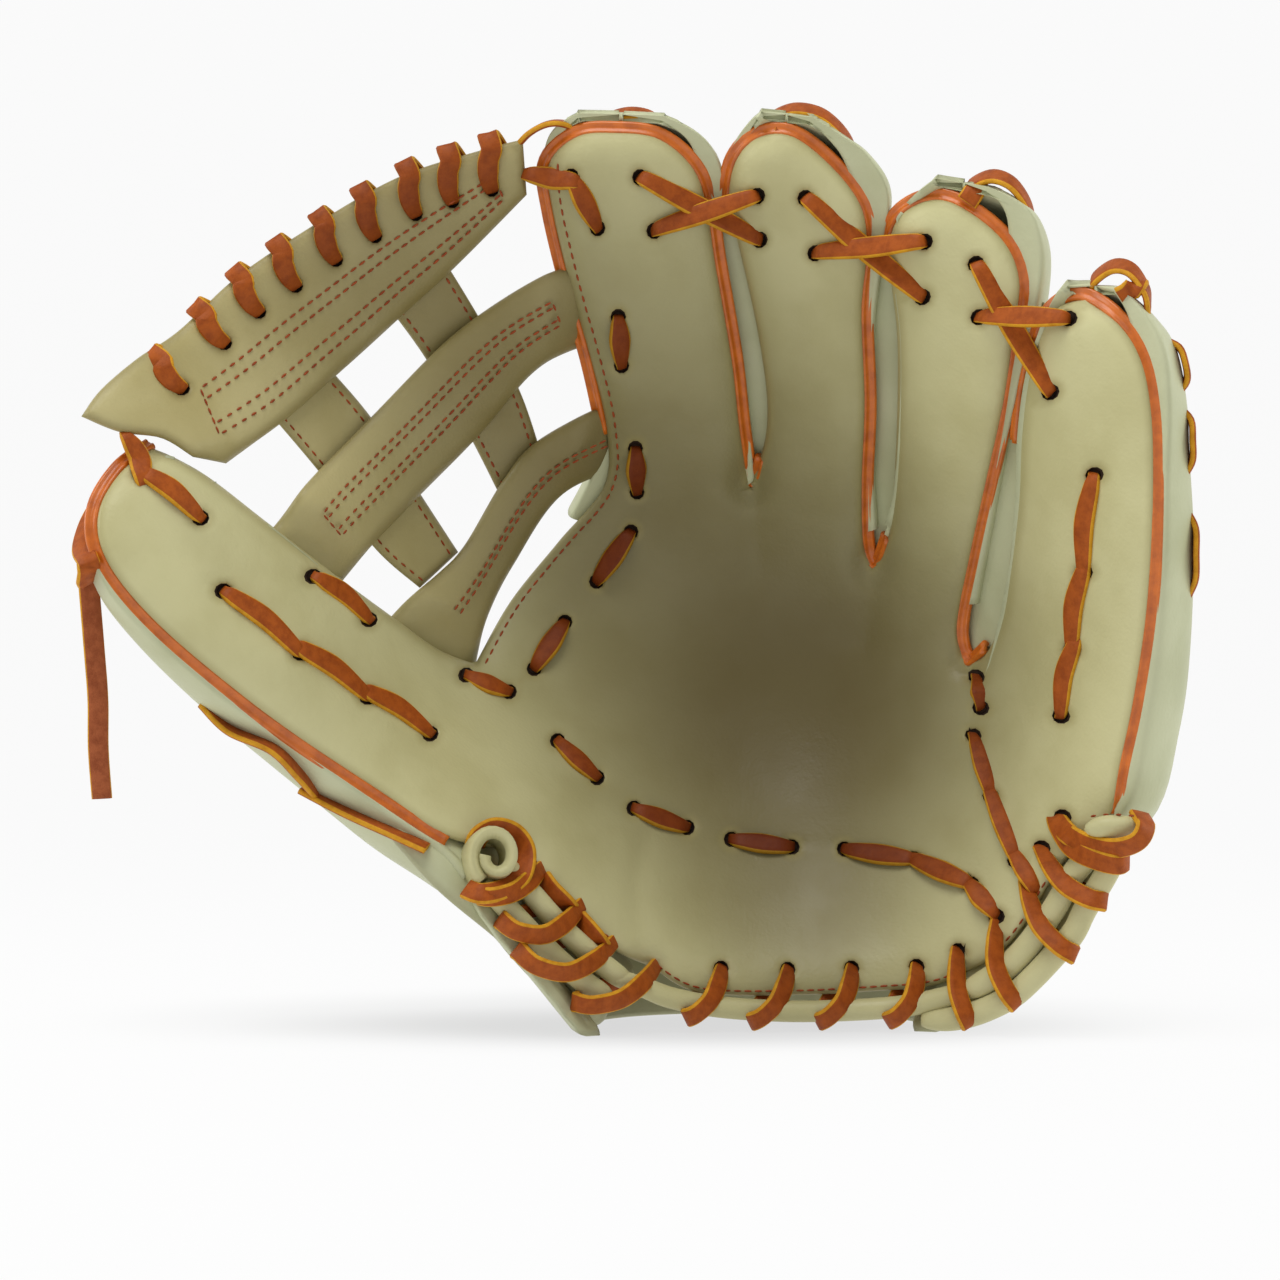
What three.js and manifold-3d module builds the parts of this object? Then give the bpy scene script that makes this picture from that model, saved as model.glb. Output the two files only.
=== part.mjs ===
// Baseball fielder's glove for the left hand, standing on its heel with the pocket open to the
// front. Millimetres, +Z up, +X towards the little-finger side, +Y from the pocket to the back of
// the hand. The floor is z = 0.
//
// Every front leather piece lies on one smooth bowl: front(x, z) gives its y. A piece is then a
// flat outline in x and z, cut out of a layer that starts and ends at set depths behind the bowl.
import * as THREE from 'three';
import { mergeVertices } from 'three/addons/utils/BufferGeometryUtils.js';
import Module from 'manifold-3d';

const wasm = await Module();
wasm.setup();

// ---- driving dimensions --------------------------------------------------------------------
const LEATHER = 4;        // front leather with its backing, measured along y
const GAP = 0.4;          // clearance that separate pieces keep
const PAD_NEAR = 10;     // padding starts here behind the bowl; laces run in front of it
const PAD_FAR = 14.5;
const LINING_FAR = 17;
const BACK_WALL = 3;      // leather of the finger backs
const WELT_R = 1.3;       // piping in the finger seams
const LACE_R = 1.6;       // a flat rawhide lace, modelled round
const LACE_CLEAR = 0.6;   // room that a hole leaves around its lace
const WEB_THICK = 5;      // a web bar is two leathers sewn together
const POST_THICK = 3;
const BAND_TOP = 44;      // the wrist band stands on the floor and ends here
const HAND_WALL = 4;      // wrist band and back panel
const LEAN = 0.38;        // how far the finger backs turn from the bowl's normal to straight back
const ROLL_R = 2.2;       // rolled leather cord along the heel
const ORIGIN = new THREE.Vector3(1.2, 14.2, 0);  // middle of the object's base, in these drawings
const GRID = 15;          // facets of every layer share this grid, so the gaps between them hold

// The bowl: [x, z, y] of points that its smooth surface runs through.
const BOWL = [
  [-163, 167, -72], [-125, 110, -60], [-52, 59, -30], [-142, 182, -54], [-97, 145, -14],
  [-54, 117, 34], [3, 15, -8], [48, 8, -4], [97, 14, -10], [146, 69, -46],
  [157, 149, -62], [136, 230, -58], [99, 260, -42], [47, 279, -30], [-13, 283, -24],
  [-14, 208, 20], [33, 105, 56], [95, 96, 30], [38, 175, 42], [78, 149, 38],
  [109, 117, 20], [-32, 138, 50], [52, 40, 22], [-106, 125, -38], [-99, 236, -8],
  [-68, 193, 22], [-137, 203, -38],
];

// Outlines in [x, z]. Each edge is a smooth curve; the edges meet in corners.
const INDEX_LEFT = [[-54, 118], [-43, 138], [-27, 158], [-12, 176], [-11, 194], [-16, 216],
  [-22, 237], [-28, 262], [-29, 276], [-20, 284], [-8, 285], [6, 283], [17, 274], [21.5, 262],
  [24, 247], [30, 216], [33, 194], [36.5, 176]];
const MIDDLE_EDGE = [[36.5, 176], [41, 190], [41.5, 204], [38, 225], [32, 249], [28, 264],
  [30, 276], [37, 283], [48, 283], [61, 273], [70, 261], [72, 248], [71, 230], [73, 202],
  [73, 177], [74, 158], [77, 149]];
const RING_EDGE = [[77, 149], [82, 160], [83, 177], [83, 202], [82, 223], [79, 244],
  [80, 256], [88, 262], [98, 261], [112, 250], [118, 237], [117, 221], [115, 200], [111, 176],
  [107, 151], [104, 128], [107.5, 117]];
const PINKY_CREASE = [[107.5, 117], [106, 70], [103, 21]];
const HEEL_EDGE = [[103, 21], [97, 17], [83, 13], [51, 11], [19, 12], [4, 20]];
const THUMB_CREASE = [[4, 20], [-26, 68], [-54, 118]];

const THUMB_INNER = [[-55.5, 117.5], [-66, 122], [-78, 131], [-96, 145], [-117, 162],
  [-133, 175], [-143, 181], [-150, 184]];
const THUMB_OUTER = [[-150, 184], [-158, 177], [-164, 166], [-164, 155], [-158, 143],
  [-145, 128], [-125, 110], [-105, 94], [-81, 77], [-60, 63], [-38, 58]];
const THUMB_HEEL = [[-38, 58], [-30, 49], [-19, 37], [-8, 26], [2.5, 19.5]];

const PINKY_INNER = [[109, 117.5], [113, 121], [117, 133], [118.5, 151], [120, 169], [120, 188],
  [120.5, 203], [124, 222], [129, 230], [137, 230]];
const PINKY_OUTER = [[137, 230], [147, 221], [153, 210], [156, 195], [157, 177], [157, 152],
  [156, 122], [152, 94], [147, 71]];
const PINKY_HEEL = [[147, 71], [134, 59], [126, 47], [115, 31], [104.5, 21.5]];

// Ribs of the hollow finger backs: left edge [x, z], right edge [x, z], depth.
const INDEX_RIBS = [[-22, 164, 37, 176, 42], [-13, 182, 35, 190, 40], [-13, 200, 33, 204, 37],
  [-17, 218, 29, 218, 34], [-22, 237, 25, 237, 32], [-27, 256, 22, 253, 30],
  [-29, 271, 21, 266, 26], [-26, 281, 14, 278, 19], [-17, 286, 2, 285, 11]];
const MIDDLE_RIBS = [[39, 178, 75, 160, 42], [42, 190, 73, 181, 40], [43, 205, 72, 202, 37],
  [38, 225, 71, 225, 34], [33, 247, 71, 245, 31], [28, 264, 69, 261, 27],
  [29, 275, 61, 272, 22], [34, 282, 53, 279, 15], [38, 285, 47, 284, 10]];
const RING_RIBS = [[79, 158, 106, 136, 42], [83, 172, 109, 160, 40], [84, 190, 112, 183, 37],
  [84, 205, 114, 200, 34], [83, 223, 116, 220, 32], [80, 243, 116, 237, 28],
  [81, 254, 111, 249, 22], [86, 261, 105, 257, 14], [91, 263, 99, 261, 10]];
const THUMB_RIBS = [[-52, 54, -34, 80, 34], [-60, 62, -48, 102, 40], [-76, 73, -64, 120, 42],
  [-101, 91, -84, 134, 40], [-124, 109, -104, 151, 38], [-144, 127, -121, 165, 34],
  [-157, 142, -135, 176, 30], [-163, 156, -147, 181, 23], [-162, 169, -155, 178, 13]];
const PINKY_RIBS = [[107, 52, 128, 50, 34], [107, 80, 147, 74, 40], [109, 103, 153, 99, 42],
  [114, 124, 156, 122, 40], [118, 150, 157, 150, 38], [119, 172, 157, 175, 35],
  [119, 190, 155, 195, 32], [121, 208, 151, 212, 27], [126, 222, 145, 222, 19],
  [131, 229, 138, 229, 11]];
// Back of the hand in level slices: z, left x, right x, y of the widest line, y of the back.
const HAND_LEVELS = [[-8, -14, 92, 2, 57], [0, -21, 96, 0, 60], [20, -37, 104, -2, 66],
  [34, -49, 113, -4, 71], [46, -56, 119, -3, 76], [65, -52, 117, 6, 85], [85, -47, 112, 16, 95],
  [105, -45, 108, 25, 103], [125, -42, 106, 30, 105], [145, -34, 104, 30, 102],
  [160, -24, 102, 26, 97], [172, -14, 99, 22, 92]];

// ---- small geometry helpers ----------------------------------------------------------------
// Thin-plate surface y(x, z) through a list of [x, z, y] points.
function thinPlate(points) {
  const n = points.length;
  const kernel = (dx, dz) => {
    const r2 = dx * dx + dz * dz;
    return r2 > 0 ? 0.5 * r2 * Math.log(r2) : 0;
  };
  const rows = [...points.map(([x, z, y]) => [
    ...points.map(([u, w]) => kernel(x - u, z - w)), 1, x, z, y]),
  [...points.map(() => 1), 0, 0, 0, 0],
  [...points.map((p) => p[0]), 0, 0, 0, 0],
  [...points.map((p) => p[1]), 0, 0, 0, 0]];
  const size = n + 3;
  for (let c = 0; c < size; c++) {
    let best = c;
    for (let r = c; r < size; r++) if (Math.abs(rows[r][c]) > Math.abs(rows[best][c])) best = r;
    [rows[c], rows[best]] = [rows[best], rows[c]];
    for (let r = 0; r < size; r++) {
      if (r === c) continue;
      const f = rows[r][c] / rows[c][c];
      for (let k = c; k <= size; k++) rows[r][k] -= f * rows[c][k];
    }
  }
  const w = rows.map((row, i) => row[size] / row[i]);
  return (x, z) => points.reduce(
    (sum, [u, v], i) => sum + w[i] * kernel(x - u, z - v), w[n] + w[n + 1] * x + w[n + 2] * z);
}
const front = thinPlate(BOWL);
const onBowl = (x, z, depth = 0) => new THREE.Vector3(x, front(x, z) + depth, z);

// A closed outline from smooth edges that follow one another.
function outline(...edges) {
  const ring = [];
  for (const edge of edges) {
    const curve = new THREE.SplineCurve(edge.map(([x, z]) => new THREE.Vector2(x, z)));
    const points = curve.getPoints(Math.max(2, Math.round(curve.getLength() / 10)));
    ring.push(...points.slice(0, -1));
  }
  return ring;
}
function openLine(edge, spacing = 8) {
  const curve = new THREE.SplineCurve(edge.map(([x, z]) => new THREE.Vector2(x, z)));
  return curve.getSpacedPoints(Math.max(2, Math.round(curve.getLength() / spacing)));
}

function closedGeometry(positions, index) {
  const g = new THREE.BufferGeometry();
  g.setAttribute('position', new THREE.Float32BufferAttribute(positions, 3));
  let volume = 0;
  const [a, b, c] = [new THREE.Vector3(), new THREE.Vector3(), new THREE.Vector3()];
  for (let i = 0; i < index.length; i += 3) {
    [a, b, c].forEach((p, k) => p.fromArray(positions, 3 * index[i + k]));
    volume += a.dot(b.cross(c));
  }
  if (volume < 0) for (let i = 0; i < index.length; i += 3) {
    [index[i], index[i + 1]] = [index[i + 1], index[i]];
  }
  g.setIndex(index);
  return g;
}

// Solid skin over a grid of rings: closed around each ring, capped at both ends.
function ringsSolid(rings) {
  const sides = rings[0].length;
  const positions = rings.flat().flatMap((p) => [p.x, p.y, p.z]);
  const index = [];
  for (let r = 0; r + 1 < rings.length; r++) {
    for (let s = 0; s < sides; s++) {
      const [a, b] = [r * sides + s, r * sides + ((s + 1) % sides)];
      index.push(a, b, b + sides, a, b + sides, a + sides);
    }
  }
  for (const [start, flip] of [[0, false], [(rings.length - 1) * sides, true]]) {
    const ring = rings[start / sides];
    const mid = ring.reduce((m, p) => m.add(p), new THREE.Vector3()).divideScalar(sides);
    positions.push(mid.x, mid.y, mid.z);
    const centre = positions.length / 3 - 1;
    for (let s = 0; s < sides; s++) {
      const [a, b] = [start + s, start + ((s + 1) % sides)];
      index.push(...(flip ? [a, b, centre] : [b, a, centre]));
    }
  }
  return closedGeometry(positions, index);
}

// Layer between two depths behind the bowl, over the outline's bounding rectangle.
function layer(ring, near, far) {
  const low = (list) => GRID * Math.floor((Math.min(...list) - 3) / GRID);
  const high = (list) => GRID * Math.ceil((Math.max(...list) + 3) / GRID);
  const xs = ring.map((p) => p.x), zs = ring.map((p) => p.y);
  const [x0, x1, z0, z1] = [low(xs), high(xs), low(zs), high(zs)];
  const nx = (x1 - x0) / GRID, nz = (z1 - z0) / GRID;
  const positions = [], index = [];
  const at = (i, j, k) => (k * (nz + 1) + j) * (nx + 1) + i;
  for (let k = 0; k < 2; k++) {
    for (let j = 0; j <= nz; j++) {
      for (let i = 0; i <= nx; i++) {
        const x = x0 + (x1 - x0) * i / nx, z = z0 + (z1 - z0) * j / nz;
        const depth = [near, far][k];
        const y = Math.abs(depth) > 200 ? depth : front(x, z) + depth;
        positions.push(x, y, z);
      }
    }
  }
  const quad = (a, b, c, d) => index.push(a, b, c, a, c, d);
  for (let j = 0; j < nz; j++) {
    for (let i = 0; i < nx; i++) {
      quad(at(i, j, 0), at(i + 1, j, 0), at(i + 1, j + 1, 0), at(i, j + 1, 0));
      quad(at(i, j, 1), at(i, j + 1, 1), at(i + 1, j + 1, 1), at(i + 1, j, 1));
    }
  }
  for (let i = 0; i < nx; i++) {
    quad(at(i, 0, 0), at(i, 0, 1), at(i + 1, 0, 1), at(i + 1, 0, 0));
    quad(at(i, nz, 0), at(i + 1, nz, 0), at(i + 1, nz, 1), at(i, nz, 1));
  }
  for (let j = 0; j < nz; j++) {
    quad(at(0, j, 0), at(0, j + 1, 0), at(0, j + 1, 1), at(0, j, 1));
    quad(at(nx, j, 0), at(nx, j, 1), at(nx, j + 1, 1), at(nx, j + 1, 0));
  }
  return closedGeometry(positions, index);
}

function solid(geometry) {
  const bare = geometry.clone();
  bare.deleteAttribute('normal');
  bare.deleteAttribute('uv');
  const merged = mergeVertices(bare, 1e-4);
  return new wasm.Manifold(new wasm.Mesh({
    numProp: 3,
    vertProperties: new Float32Array(merged.attributes.position.array),
    triVerts: new Uint32Array(merged.index.array),
  }));
}

// Outline pushed straight through along y.
function prism(ring) {
  const g = new THREE.ExtrudeGeometry(new THREE.Shape(ring),
    { depth: 400, bevelEnabled: false, curveSegments: 1 });
  g.rotateX(Math.PI / 2);
  g.translate(0, 200, 0);
  return solid(g);
}

// A piece of leather: the outline cut out of one layer.
const sheet = (ring, near, far) => solid(layer(ring, near, far)).intersect(prism(ring));

// Outline moved inwards (negative) or outwards by a distance.
function grow(ring, distance) {
  const area = THREE.ShapeUtils.area(ring);
  return ring.map((p, i) => {
    const before = ring[(i + ring.length - 1) % ring.length], after = ring[(i + 1) % ring.length];
    const t = after.clone().sub(before).normalize().multiplyScalar(Math.sign(area) * distance);
    return new THREE.Vector2(p.x + t.y, p.y - t.x);
  });
}

// Round tube along points in space.
function tube(points, radius, sides = 6, steps = Math.round(points.length * 1.6)) {
  const section = new THREE.Shape(Array.from({ length: sides }, (_, i) => {
    const a = 2 * Math.PI * i / sides;
    return new THREE.Vector2(radius * Math.cos(a), radius * Math.sin(a));
  }));
  const path = new THREE.CatmullRomCurve3(points, false, 'centripetal');
  return solid(new THREE.ExtrudeGeometry(section, { steps, extrudePath: path }));
}

// One rib of a finger back at t from base to tip: its middle, its directions and half sizes.
function ribAt(ribs, t) {
  const curve = (a, b) => new THREE.SplineCurve(ribs.map((r) => new THREE.Vector2(r[a], r[b])));
  const [left, right, depths] = [curve(0, 1), curve(2, 3), curve(4, 4)];
  const edge = (line, u) => {
    const p = line.getPoint(Math.min(1, Math.max(0, u)));
    return onBowl(p.x, p.y);
  };
  const middle = (u) => edge(left, u).add(edge(right, u)).multiplyScalar(0.5);
  const across = edge(right, t).sub(edge(left, t));
  const half = across.length() / 2;
  across.normalize();
  const along = middle(t + 0.04).sub(middle(t - 0.04)).normalize();
  const back = new THREE.Vector3().crossVectors(across, along);
  if (back.y < 0) back.negate();
  back.normalize().lerp(new THREE.Vector3(0, 1, 0), LEAN).normalize();
  const depth = depths.getPoint(t).x;
  const centre = middle(t).addScaledVector(back, depth * 0.4);
  return { centre, across, back, half, deep: depth * 0.6 };
}
// Point on a rib at an angle: 0 is the right edge, 90 degrees the back.
function onRib({ centre, across, back, half, deep }, degrees, extra = 2, lift = 0) {
  const a = degrees * Math.PI / 180;
  const round = (v) => Math.sign(v) * Math.abs(v) ** 0.8;
  return centre.clone()
    .addScaledVector(across, Math.max(2, half + extra + lift) * round(Math.cos(a)))
    .addScaledVector(back, Math.max(2, deep + lift) * round(Math.sin(a)));
}
const ribRings = (ribs, extra, lift = 0, count = 10) => (
  Array.from({ length: count + 1 }, (_, i) => (
    Array.from({ length: 12 }, (__, k) => onRib(ribAt(ribs, i / count), 30 * k, extra, lift)))));
const fingerOuter = (ribs, extra = 2) => solid(ringsSolid(ribRings(ribs, extra)));

// Hollow back of a finger: rounded ribs, open at the base and domed at the tip.
function fingerBack(ribs) {
  const inner = ribRings(ribs, 2, -BACK_WALL);
  inner.unshift(inner[0].map((p, k) => p.clone().lerp(inner[1][k], -1)));
  inner.pop();
  const [before, last] = inner.slice(-2);
  inner[inner.length - 1] = last.map((p, k) => p.clone().lerp(before[k], 0.3));
  return fingerOuter(ribs).subtract(solid(ringsSolid(inner)));
}

// Solid of the hand's back between two heights.
function handSolid(z0, z1, inset = 0) {
  const column = (i) => new THREE.SplineCurve(
    HAND_LEVELS.map((l) => new THREE.Vector2(l[0], l[i])));
  const columns = [1, 2, 3, 4].map(column);
  const rings = [];
  const count = Math.max(2, Math.round((z1 - z0) / 14));
  for (let i = 0; i <= count; i++) {
    const z = z0 + (z1 - z0) * i / count;
    // The height is the curves' first coordinate: find where they reach it.
    let [low, high] = [0, 1];
    for (let n = 0; n < 30; n++) {
      const mid = (low + high) / 2;
      if (columns[0].getPoint(mid).x < z) low = mid; else high = mid;
    }
    const [xl, xr, cy, yb] = columns.map((c) => c.getPoint(low).y);
    rings.push(Array.from({ length: 24 }, (_, k) => {
      const a = 2 * Math.PI * k / 24;
      const round = (v) => Math.sign(v) * Math.abs(v) ** 0.85;
      return new THREE.Vector3(
        (xl + xr) / 2 + ((xr - xl) / 2 - inset) * round(Math.cos(a)),
        cy + (yb - cy - inset) * round(Math.sin(a)), z);
    }));
  }
  return solid(ringsSolid(rings));
}

// Lace woven in and out through holes in the front leather, starting and ending in front of it.
// It slants through each hole.
function weave(holes, over = -2.6, under = LEATHER + 2.4, slant = 2.6) {
  const path = [];
  const spots = holes.map(([x, z]) => new THREE.Vector2(x, z));
  const place = (p, inFront) => path.push(onBowl(p.x, p.y, inFront ? over : under));
  for (let i = 0; i + 1 < spots.length; i++) {
    const [from, to] = [spots[i], spots[i + 1]];
    const inFront = i % 2 === 0;
    const run = from.distanceTo(to);
    const start = i === 0 ? 0 : slant / run;
    const end = i + 2 === spots.length ? 1 : 1 - slant / run;
    const n = Math.max(1, Math.round(run / 14));
    for (let k = 0; k <= n; k++) {
      place(from.clone().lerp(to, start + (end - start) * k / n), inFront);
    }
  }
  return path;
}

// Lace whipped over an edge: through a hole to the front, down over the edge, up behind.
function whip(edge, inset, near, far, over) {
  const path = [];
  edge.forEach(([x, z], i) => {
    const [a, b] = [edge[Math.max(0, i - 1)], edge[Math.min(edge.length - 1, i + 1)]];
    const n = new THREE.Vector2(-(b[1] - a[1]), b[0] - a[0]).normalize();
    const at = (d, depth) => onBowl(x + n.x * d, z + n.y * d, depth);
    path.push(at(inset, far), at(inset, near));
    for (let k = 0; k <= 4; k++) {
      const a = Math.PI * k / 4;
      path.push(at(-over * Math.sin(a), (near + far) / 2 - (far - near) / 2 * Math.cos(a)));
    }
  });
  return path;
}

// ---- the scene -----------------------------------------------------------------------------
const glove = new THREE.Group();
const looks = {
  leather: { color: 0xb9b48a, roughness: 0.5, metalness: 0 },
  backLeather: { color: 0xa7a882, roughness: 0.55, metalness: 0 },
  felt: { color: 0xc9bfa4, roughness: 0.95, metalness: 0 },
  lining: { color: 0xc2a277, roughness: 0.8, metalness: 0 },
  welt: { color: 0xc0601e, roughness: 0.4, metalness: 0 },
  lace: { color: 0xa8552f, roughness: 0.6, metalness: 0 },
};
function add(name, shape, look) {
  // A cut can leave a sliver behind: the piece is the largest body.
  const mesh = shape.decompose().sort((a, b) => b.volume() - a.volume())[0].getMesh();
  const g = new THREE.BufferGeometry();
  g.setAttribute('position', new THREE.BufferAttribute(new Float32Array(mesh.vertProperties), 3));
  g.setIndex(new THREE.BufferAttribute(new Uint32Array(mesh.triVerts), 1));
  const part = new THREE.Mesh(g, new THREE.MeshStandardMaterial(looks[look]));
  part.name = name;
  part.position.copy(ORIGIN).negate();
  glove.add(part);
}
// Cuts room for each lace, given as the points it runs through.
const cutFor = (shape, ...paths) => paths.reduce(
  (rest, path) => rest.subtract(tube(path, LACE_R + LACE_CLEAR, 5)), shape);

const palmRing = outline(INDEX_LEFT, MIDDLE_EDGE, RING_EDGE, PINKY_CREASE, HEEL_EDGE,
  THUMB_CREASE);
const thumbRing = outline(THUMB_INNER, THUMB_OUTER, THUMB_HEEL,
  [[2.5, 19.5], [-13.4, 42], [-28.9, 66.6], [-55.5, 117.5]]);
const pinkyRing = outline(PINKY_INNER, PINKY_OUTER, PINKY_HEEL,
  [[104.5, 21.5], [107.5, 70], [109, 117.5]]);

// Laces first, because the leathers are cut to let them through. Each list gives the ends and the
// holes of one lace in order.
const indexWebLace = weave([[-50, 262], [-13, 257], [-7, 241], [-7, 224], [-3, 206], [-2, 190],
  [-5, 170], [-14, 152], [-28, 134], [-38, 121]]);
const thumbWebLace = weave([[-146, 198], [-138, 172], [-128, 158], [-118, 144], [-108, 131],
  [-98, 122], [-88, 113], [-78, 105], [-68, 98]]);
const pinkySideLace = weave([[136, 168], [136, 157], [134, 144], [134, 132], [133, 118],
  [132, 104]]);
const palmLace = weave([[-28, 93], [-17, 82], [0, 69], [14, 65], [34, 60], [48, 58], [70, 57],
  [84, 52], [94, 46], [98, 36]]);
const indexMiddleLace = weave([[-1, 267], [38, 263], [38, 251], [3, 252]]);
const middleRingLace = weave([[52, 262], [89, 247], [90, 233], [54, 247]]);
const ringPinkyLace = weave([[101, 240], [127, 217], [125, 202], [103, 224]]);
const crown = whip([[-50, 279], [-63, 275.5], [-76, 271], [-90, 263.5], [-103, 255.5],
  [-116, 246.5], [-128, 237], [-139, 225.5], [-151, 210]], 10, -2.6, WEB_THICK + 2.6, 3);
const heelLace = whip([[20, 7.5], [41, 7], [62, 7], [82, 8.5], [94, 11.5]], 11, -3.8,
  LEATHER + 3.8, 5.1);
const thumbHeelLace = whip([[-34.5, 47], [-26.5, 37], [-18, 28]], 10, -5.6, LEATHER + 6.6, 11.8);
const pinkyHeelLace = whip([[121, 27], [129, 38], [137, 49], [145, 60]], 11, -5,
  LEATHER + 5, 5.8);
const rollLine = (points) => points.map(([x, z]) => onBowl(x, z, LEATHER / 2));
const laceOf = (path) => tube(path, LACE_R, 5);

// ---- palm, index, middle and ring ------------------------------------------------------------
add('palm_shell', cutFor(sheet(palmRing, 0, LEATHER), indexWebLace, palmLace, indexMiddleLace,
  middleRingLace, ringPinkyLace, heelLace), 'leather');
const palmPad = outline([[-40, 116], [-14, 146], [16, 158]], [[16, 158], [60, 154], [97, 124]],
  [[97, 124], [98, 80], [95, 34]], [[95, 34], [83, 31], [51, 30], [22, 31], [10, 34]],
  [[10, 34], [-14, 74], [-40, 116]]);
add('palm_padding', cutFor(sheet(palmPad, PAD_NEAR, PAD_FAR), heelLace), 'felt');
const handRing = outline([[12, 36], [-12, 74], [-34, 112]], [[-34, 112], [-14, 146], [16, 160],
  [60, 156], [94, 136]], [[94, 136], [94, 80], [92, 36]], [[92, 36], [51, 33], [12, 36]]);
add('palm_lining', sheet(handRing, PAD_FAR + GAP, LINING_FAR), 'lining');

// A finger back starts just behind its front leather and keeps clear of its neighbours.
const frontOf = (depth) => solid(layer([new THREE.Vector2(-240, -30),
  new THREE.Vector2(240, 330)], -900, depth));
const behindLeather = frontOf(LEATHER + GAP);
const weltLine = (edge, out = 2) => {
  const line = openLine(edge, 11);
  return line.map((p, i) => {
    const t = line[Math.min(i + 1, line.length - 1)].clone().sub(line[Math.max(i - 1, 0)]);
    t.normalize();
    return onBowl(p.x - t.y * out, p.y + t.x * out, LEATHER * 0.6);
  });
};
const welts = {
  index_welt: weltLine(INDEX_LEFT.slice(4, -1)),
  middle_welt: weltLine(MIDDLE_EDGE.slice(2, -2)),
  ring_welt: weltLine(RING_EDGE.slice(2, -2)),
  thumb_welt: weltLine(THUMB_OUTER.slice(0, -1), -2),
  pinky_welt: weltLine(PINKY_OUTER),
};
const roomForWelt = (shape, name) => shape.subtract(tube(welts[name], WELT_R + GAP));
const indexOuter = fingerOuter(INDEX_RIBS, 2.4);
const middleOuter = fingerOuter(MIDDLE_RIBS, 2.4);
const ringOuter = fingerOuter(RING_RIBS, 2.4);
const indexBack = fingerBack(INDEX_RIBS).subtract(behindLeather);
const middleBack = fingerBack(MIDDLE_RIBS).subtract(behindLeather).subtract(indexOuter);
const ringBack = fingerBack(RING_RIBS).subtract(behindLeather).subtract(middleOuter);
add('index_finger_back', roomForWelt(roomForWelt(indexBack, 'index_welt'), 'middle_welt'),
  'backLeather');
add('middle_finger_back', roomForWelt(roomForWelt(roomForWelt(middleBack, 'middle_welt'),
  'index_welt'), 'ring_welt'), 'backLeather');
add('ring_finger_back', roomForWelt(roomForWelt(ringBack, 'ring_welt'), 'middle_welt'),
  'backLeather');
for (const name of ['index_welt', 'middle_welt', 'ring_welt']) {
  add(name, tube(welts[name], WELT_R, 6, Math.round(welts[name].length * 1.3)), 'welt');
}

// The back of the hand: a wrist band that stands on the floor, and above it a panel with the
// open slot that the wearer's knuckles show through. Both start behind the palm.
const handShell = (z0, z1) => handSolid(z0, z1).subtract(handSolid(z0 - 6, z1 + 6, HAND_WALL));
const slot = outline([[4, 60], [8, 84]], [[8, 84], [40, 88], [72, 84]], [[72, 84], [77, 60]],
  [[77, 60], [40, 57], [4, 60]]);
add('wrist_band', handShell(0, BAND_TOP).subtract(frontOf(LEATHER + 12)), 'backLeather');
add('back_panel', handShell(BAND_TOP + GAP, 170).subtract(frontOf(LINING_FAR + GAP))
  .subtract(prism(slot)).subtract(indexOuter).subtract(middleOuter).subtract(ringOuter),
'backLeather');
const handRoom = handSolid(-6, 172, -0.5);
const thumbRoom = handSolid(-6, 172, -3.4);   // the thumb swings past the panel as it closes

// Heel: a rolled leather cord under the palm's lower edge, whipped to it with lace.
const thumbRoll = rollLine([[-42, 55], [-34.5, 47], [-24, 34], [-14.5, 25], [-4, 17]]);
const thumbRollOuter = rollLine([[-47.5, 52.5], [-39.5, 43.5], [-28.5, 30.5], [-19, 21.5],
  [-9, 14]]);
const pinkyRoll = rollLine([[109, 17], [121, 27], [129, 38], [137, 49], [145, 60], [150, 67]]);
add('heel_roll', tube(rollLine([[8, 11], [20, 7.5], [41, 7], [62, 7], [82, 8.5], [94, 11.5],
  [100, 14]]), ROLL_R), 'leather');
add('heel_lace', laceOf(heelLace), 'lace');
add('palm_lace', laceOf(palmLace), 'lace');
add('index_web_lace', laceOf(indexWebLace), 'lace');
add('index_middle_lace', laceOf(indexMiddleLace), 'lace');
add('middle_ring_lace', laceOf(middleRingLace), 'lace');
add('ring_pinky_lace', laceOf(ringPinkyLace), 'lace');

// ---- H-shaped web ----------------------------------------------------------------------------
const topBar = outline([[-163, 192], [-157, 203], [-144, 221], [-126, 240], [-101, 258],
  [-76, 272], [-50, 280], [-37, 283]], [[-37, 283], [-34.5, 267]], [[-34.5, 267], [-60, 244],
  [-77, 229], [-97, 210], [-113, 194], [-129, 180]], [[-129, 180], [-142, 187], [-153, 190],
  [-163, 192]]);
const middleBar = outline([[-112, 164], [-99, 183], [-70, 215], [-52, 230], [-29, 243]],
  [[-29, 243], [-23, 223]], [[-23, 223], [-36, 211], [-52, 193], [-72, 172], [-91, 150]],
  [[-91, 150], [-112, 164]]);
const lowerBar = outline([[-77, 136], [-68, 147], [-58, 156], [-45, 178], [-33, 191],
  [-17, 201]], [[-17, 201], [-16, 183]], [[-16, 183], [-26, 172], [-42, 150], [-52, 134],
  [-57.5, 123]], [[-57.5, 123], [-77, 136]]);
const thumbPost = outline([[-120, 200], [-102, 178], [-86, 155], [-72, 142]],
  [[-72, 142], [-60, 154]], [[-60, 154], [-72, 173], [-87, 197], [-104, 217]],
  [[-104, 217], [-120, 200]]);
const indexPost = outline([[-84, 236], [-70, 217], [-56, 192], [-47, 174]],
  [[-47, 174], [-33, 188]], [[-33, 188], [-40, 208], [-53, 231], [-66, 252]],
  [[-66, 252], [-84, 236]]);
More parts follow.
